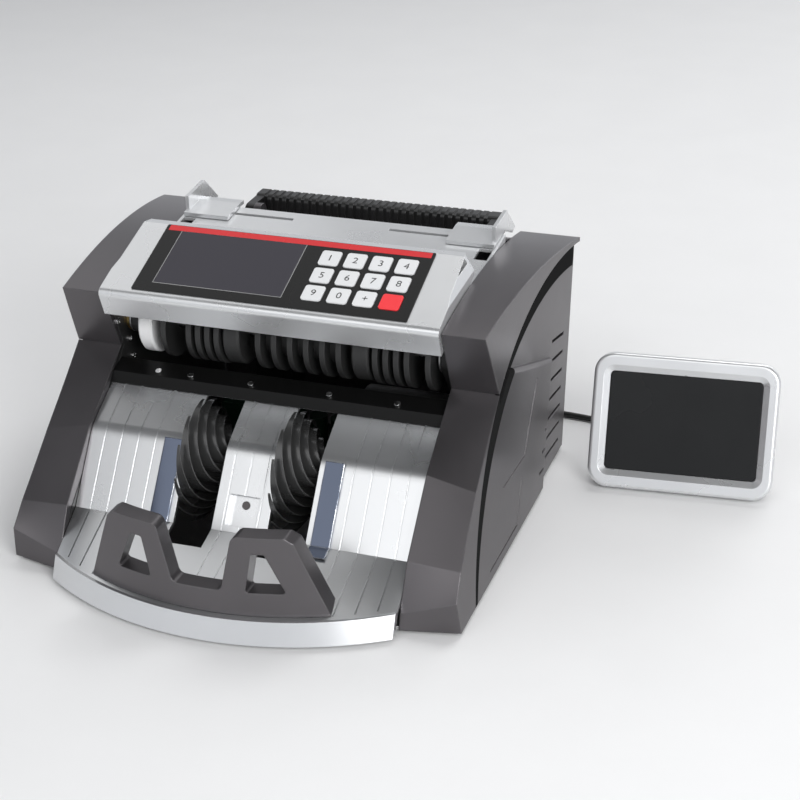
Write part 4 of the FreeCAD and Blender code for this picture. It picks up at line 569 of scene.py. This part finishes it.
def screw_tree():
    """Cross-recessed screw heads on the points of a mesh, each turned at random about its axis."""
    tree = bpy.data.node_groups.new("cross_screws", "GeometryNodeTree")
    for label, kind in (("Geometry", "NodeSocketGeometry"), ("Radius", "NodeSocketFloat"),
                        ("Height", "NodeSocketFloat"), ("Slot", "NodeSocketFloat"),
                        ("Axis", "NodeSocketVector"), ("Seed", "NodeSocketInt"),
                        ("Material", "NodeSocketMaterial")):
        tree.interface.new_socket(label, in_out="INPUT", socket_type=kind)
    tree.interface.new_socket("Geometry", in_out="OUTPUT", socket_type="NodeSocketGeometry")
    start = tree.nodes.new("NodeGroupInput").outputs
    end = tree.nodes.new("NodeGroupOutput").inputs
    join = tree.links.new
    head = node(tree, "GeometryNodeMeshCylinder", {"Vertices": HEAD_SIDES})
    join(start["Radius"], head.inputs["Radius"])
    join(start["Height"], head.inputs["Depth"])
    lift = node(tree, "ShaderNodeCombineXYZ")
    join(math_node(tree, "MULTIPLY", start["Height"], 0.5), lift.inputs["Z"])
    cuts = []
    for along, across in (("X", "Y"), ("Y", "X")):
        size = node(tree, "ShaderNodeCombineXYZ")
        join(math_node(tree, "MULTIPLY", start["Radius"], SLOT_LENGTH), size.inputs[along])
        join(start["Slot"], size.inputs[across])
        join(start["Height"], size.inputs["Z"])
        bar = node(tree, "GeometryNodeMeshCube")
        join(size.outputs["Vector"], bar.inputs["Size"])
        raised = node(tree, "GeometryNodeTransform")
        join(bar.outputs["Mesh"], raised.inputs["Geometry"])
        join(lift.outputs["Vector"], raised.inputs["Translation"])
        cuts.append(raised.outputs["Geometry"])
    recess = node(tree, "GeometryNodeMeshBoolean", operation="DIFFERENCE")
    join(head.outputs["Mesh"], recess.inputs["Mesh 1"])
    for cut in cuts:
        join(cut, recess.inputs["Mesh 2"])
    seated = node(tree, "GeometryNodeTransform")
    join(recess.outputs["Mesh"], seated.inputs["Geometry"])
    join(lift.outputs["Vector"], seated.inputs["Translation"])
    facing = node(tree, "FunctionNodeAlignRotationToVector", axis="Z")
    join(start["Axis"], facing.inputs["Vector"])
    places = node(tree, "GeometryNodeMeshToPoints")
    join(start["Geometry"], places.inputs["Mesh"])
    copies = node(tree, "GeometryNodeInstanceOnPoints")
    join(places.outputs["Points"], copies.inputs["Points"])
    join(seated.outputs["Geometry"], copies.inputs["Instance"])
    join(facing.outputs["Rotation"], copies.inputs["Rotation"])
    chance = node(tree, "FunctionNodeRandomValue", data_type="FLOAT")
    join(start["Seed"], chance.inputs["Seed"])
    spin = node(tree, "ShaderNodeCombineXYZ")
    join(math_node(tree, "MULTIPLY", chance.outputs[1], math.tau), spin.inputs["Z"])
    turned = node(tree, "GeometryNodeRotateInstances")
    join(copies.outputs["Instances"], turned.inputs["Instances"])
    join(spin.outputs["Vector"], turned.inputs["Rotation"])
    real = node(tree, "GeometryNodeRealizeInstances")
    join(turned.outputs["Instances"], real.inputs["Geometry"])
    coated = node(tree, "GeometryNodeSetMaterial")
    join(real.outputs["Geometry"], coated.inputs["Geometry"])
    join(start["Material"], coated.inputs["Material"])
    join(coated.outputs["Geometry"], end["Geometry"])
    return tree


SCREWS = screw_tree()


def screws(name, places, axis, radius, seed):
    """Screw heads at places on the machine, made real and named as one piece."""
    mesh = bpy.data.meshes.new(name + "_places")
    mesh.from_pydata([tuple(place) for place in places], [], [])
    holder = link(name + "_places", mesh)
    modifier = holder.modifiers.new("screws", "NODES")
    modifier.node_group = SCREWS
    values = {"Radius": radius * MM, "Height": HEAD_HEIGHT * radius * MM, "Slot": SLOT_WIDTH * radius * MM,
              "Axis": axis, "Seed": seed, "Material": CHROME}
    for item in SCREWS.interface.items_tree:
        if item.in_out == "INPUT" and item.name in values:
            modifier[item.identifier] = values[item.name]
    made = plain_mesh(holder)
    made.name = name
    piece = link(name, made)
    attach(piece, "machine")


def seat(node_name, start, heading):
    """Point where a line from a start, in millimetres from the middle, meets the surface of a CAD node."""
    hit, place, *_ = nodes[node_name].ray_cast(MIDDLE + Vector(start) * MM, Vector(heading))
    if not hit:
        raise ValueError("no surface of %s at %s" % (node_name, start))
    return place


CHEEK_SCREW = 2.2
COVER_SCREW = 3.0
CHEEK_START = 40.0
REAR_START = 300.0
BASE_START = -50.0
CHEEK_PLACES = ((-6.0, 126.0), (7.0, 109.0), (10.0, 96.0))
REAR_PLACES = [(x, z) for x in (-98.0, 98.0) for z in (16.0, 118.0)]
BASE_PLACES = [(x, y) for x in (-70.0, 0.0, 70.0) for y in (-50.0, 100.0)]

# Piece, node that it is driven into, starts and heading of the lines to its seats, radius and seed
SCREW_SETS = (
    ("left_cheek_screws", "left_side_frame", [(-CHEEK_START, y, z) for y, z in CHEEK_PLACES], (-1, 0, 0),
     CHEEK_SCREW, 3),
    ("right_cheek_screws", "right_side_frame", [(CHEEK_START, y, z) for y, z in CHEEK_PLACES], (1, 0, 0),
     CHEEK_SCREW, 4),
    ("rear_cover_screws", "rear_cover", [(x, REAR_START, z) for x, z in REAR_PLACES], (0, -1, 0),
     COVER_SCREW, 5),
    ("base_screws", "base_plate", [(x, y, BASE_START) for x, y in BASE_PLACES], (0, 0, 1),
     COVER_SCREW, 6),
)

for name, carrier, starts, heading, radius, seed in SCREW_SETS:
    axis = tuple(-step for step in heading)
    screws(name, [seat(carrier, start, heading) for start in starts], axis, radius, seed)


# Tie round the coil of the display cord, as distances from the coil's axis and heights in millimetres

TIE_WIDTH = 4.0
TIE_INNER = 17.2
TIE_OUTER = 33.6
TIE_LOW = 0.08
TIE_HIGH = 9.7
TIE_THICK = 0.7
TIE_FLOOR = 0.02


def coil_tie():
    """Flat band round the turns on the left of the coil."""
    inside = [(TIE_INNER, TIE_LOW), (TIE_OUTER, TIE_LOW), (TIE_OUTER, TIE_HIGH), (TIE_INNER, TIE_HIGH)]
    low, high = TIE_FLOOR, TIE_HIGH + TIE_THICK
    near, far = TIE_INNER - TIE_THICK, TIE_OUTER + TIE_THICK
    outside = [(near, low), (far, low), (far, high), (near, high)]
    work = bmesh.new()
    rings = []
    for ring in (inside, outside):
        for side in (-TIE_WIDTH / 2, TIE_WIDTH / 2):
            rings.append([work.verts.new(MIDDLE + Vector((COIL_CENTRE[0] - r, COIL_CENTRE[1] + side, z)) * MM)
                          for r, z in ring])
    inner_front, inner_back, outer_front, outer_back = rings
    for i in range(4):
        j = (i + 1) % 4
        for a, b in ((inner_front, outer_front), (outer_front, outer_back), (outer_back, inner_back),
                     (inner_back, inner_front)):
            work.faces.new((a[i], a[j], b[j], b[i]))
    bmesh.ops.recalc_face_normals(work, faces=work.faces)
    mesh = bpy.data.meshes.new("coil_tie")
    work.to_mesh(mesh)
    work.free()
    mesh.materials.append(TIE)
    piece = link("coil_tie", mesh)
    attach(piece, "machine")
    return piece


tie = coil_tie()


# Studio, in metres from the middle of the machine

FLOOR_REACH = 6.0
SKY_COLOUR = (0.94, 0.96, 1.0, 1)
SKY_HORIZON = 1.0
SKY_TOP = 0.06
SKY_TOP_HEIGHT = 0.9


def area_light(name, place, size, power, target=(0.0, 0.0, 0.08)):
    """Large soft light, placed from the middle of the machine."""
    data = bpy.data.lights.new(name, "AREA")
    data.shape = "RECTANGLE"
    data.size, data.size_y = size
    data.energy = power
    light = link(name, data)
    heading = Vector(target) - Vector(place)
    light.rotation_euler = heading.to_track_quat("-Z", "Y").to_euler()
    light.location = MIDDLE + Vector(place)


def studio_world():
    """Pale horizon under a darker sky, so that sloping faces take different tones."""
    world = bpy.data.worlds.new("studio")
    world.use_nodes = True
    tree = world.node_tree
    back = tree.nodes["Background"]
    place = node(tree, "ShaderNodeTexCoord")
    parts = node(tree, "ShaderNodeSeparateXYZ")
    tree.links.new(place.outputs["Generated"], parts.inputs["Vector"])
    height = node(tree, "ShaderNodeMapRange", {"From Min": 0.0, "From Max": SKY_TOP_HEIGHT,
                                               "To Min": SKY_HORIZON, "To Max": SKY_TOP})
    tree.links.new(parts.outputs["Z"], height.inputs["Value"])
    tree.links.new(height.outputs["Result"], back.inputs["Strength"])
    back.inputs["Color"].default_value = SKY_COLOUR
    bpy.context.scene.world = world


def pale_floor():
    """Plain floor under the machine."""
    mesh = bpy.data.meshes.new("floor")
    corners = [(x * FLOOR_REACH, y * FLOOR_REACH, 0) for x, y in ((-1, -1), (1, -1), (1, 1), (-1, 1))]
    mesh.from_pydata(corners, [], [(0, 1, 2, 3)])
    floor = link("floor", mesh)
    mesh.materials.append(finish("pale_floor", grey(0.84), grey(0.88), grey(0.88), (0.5, 0.6), grain=200.0,
                                 scuff_and_painted_light=0.0))


def studio():
    """Pale floor and soft lights."""
    studio_world()
    bpy.context.scene.view_settings.view_transform = "Standard"
    pale_floor()
    area_light("key_light", place=(1.4, -1.3, 0.9), size=(0.9, 0.9), power=23.0)
    area_light("front_light", place=(0.2, -1.33, 1.25), size=(2.3, 1.1), power=10.0)
    area_light("top_light", place=(0.3, 0.7, 1.5), size=(0.8, 0.8), power=7.5)
    area_light("left_top_light", place=(-0.9, 0.75, 1.54), size=(1.4, 1.1), power=4.0)
    area_light("back_fill", place=(0.9, 2.0, 1.0), size=(1.5, 0.8), power=9.0, target=(0.5, 0.8, 0.0))


studio()
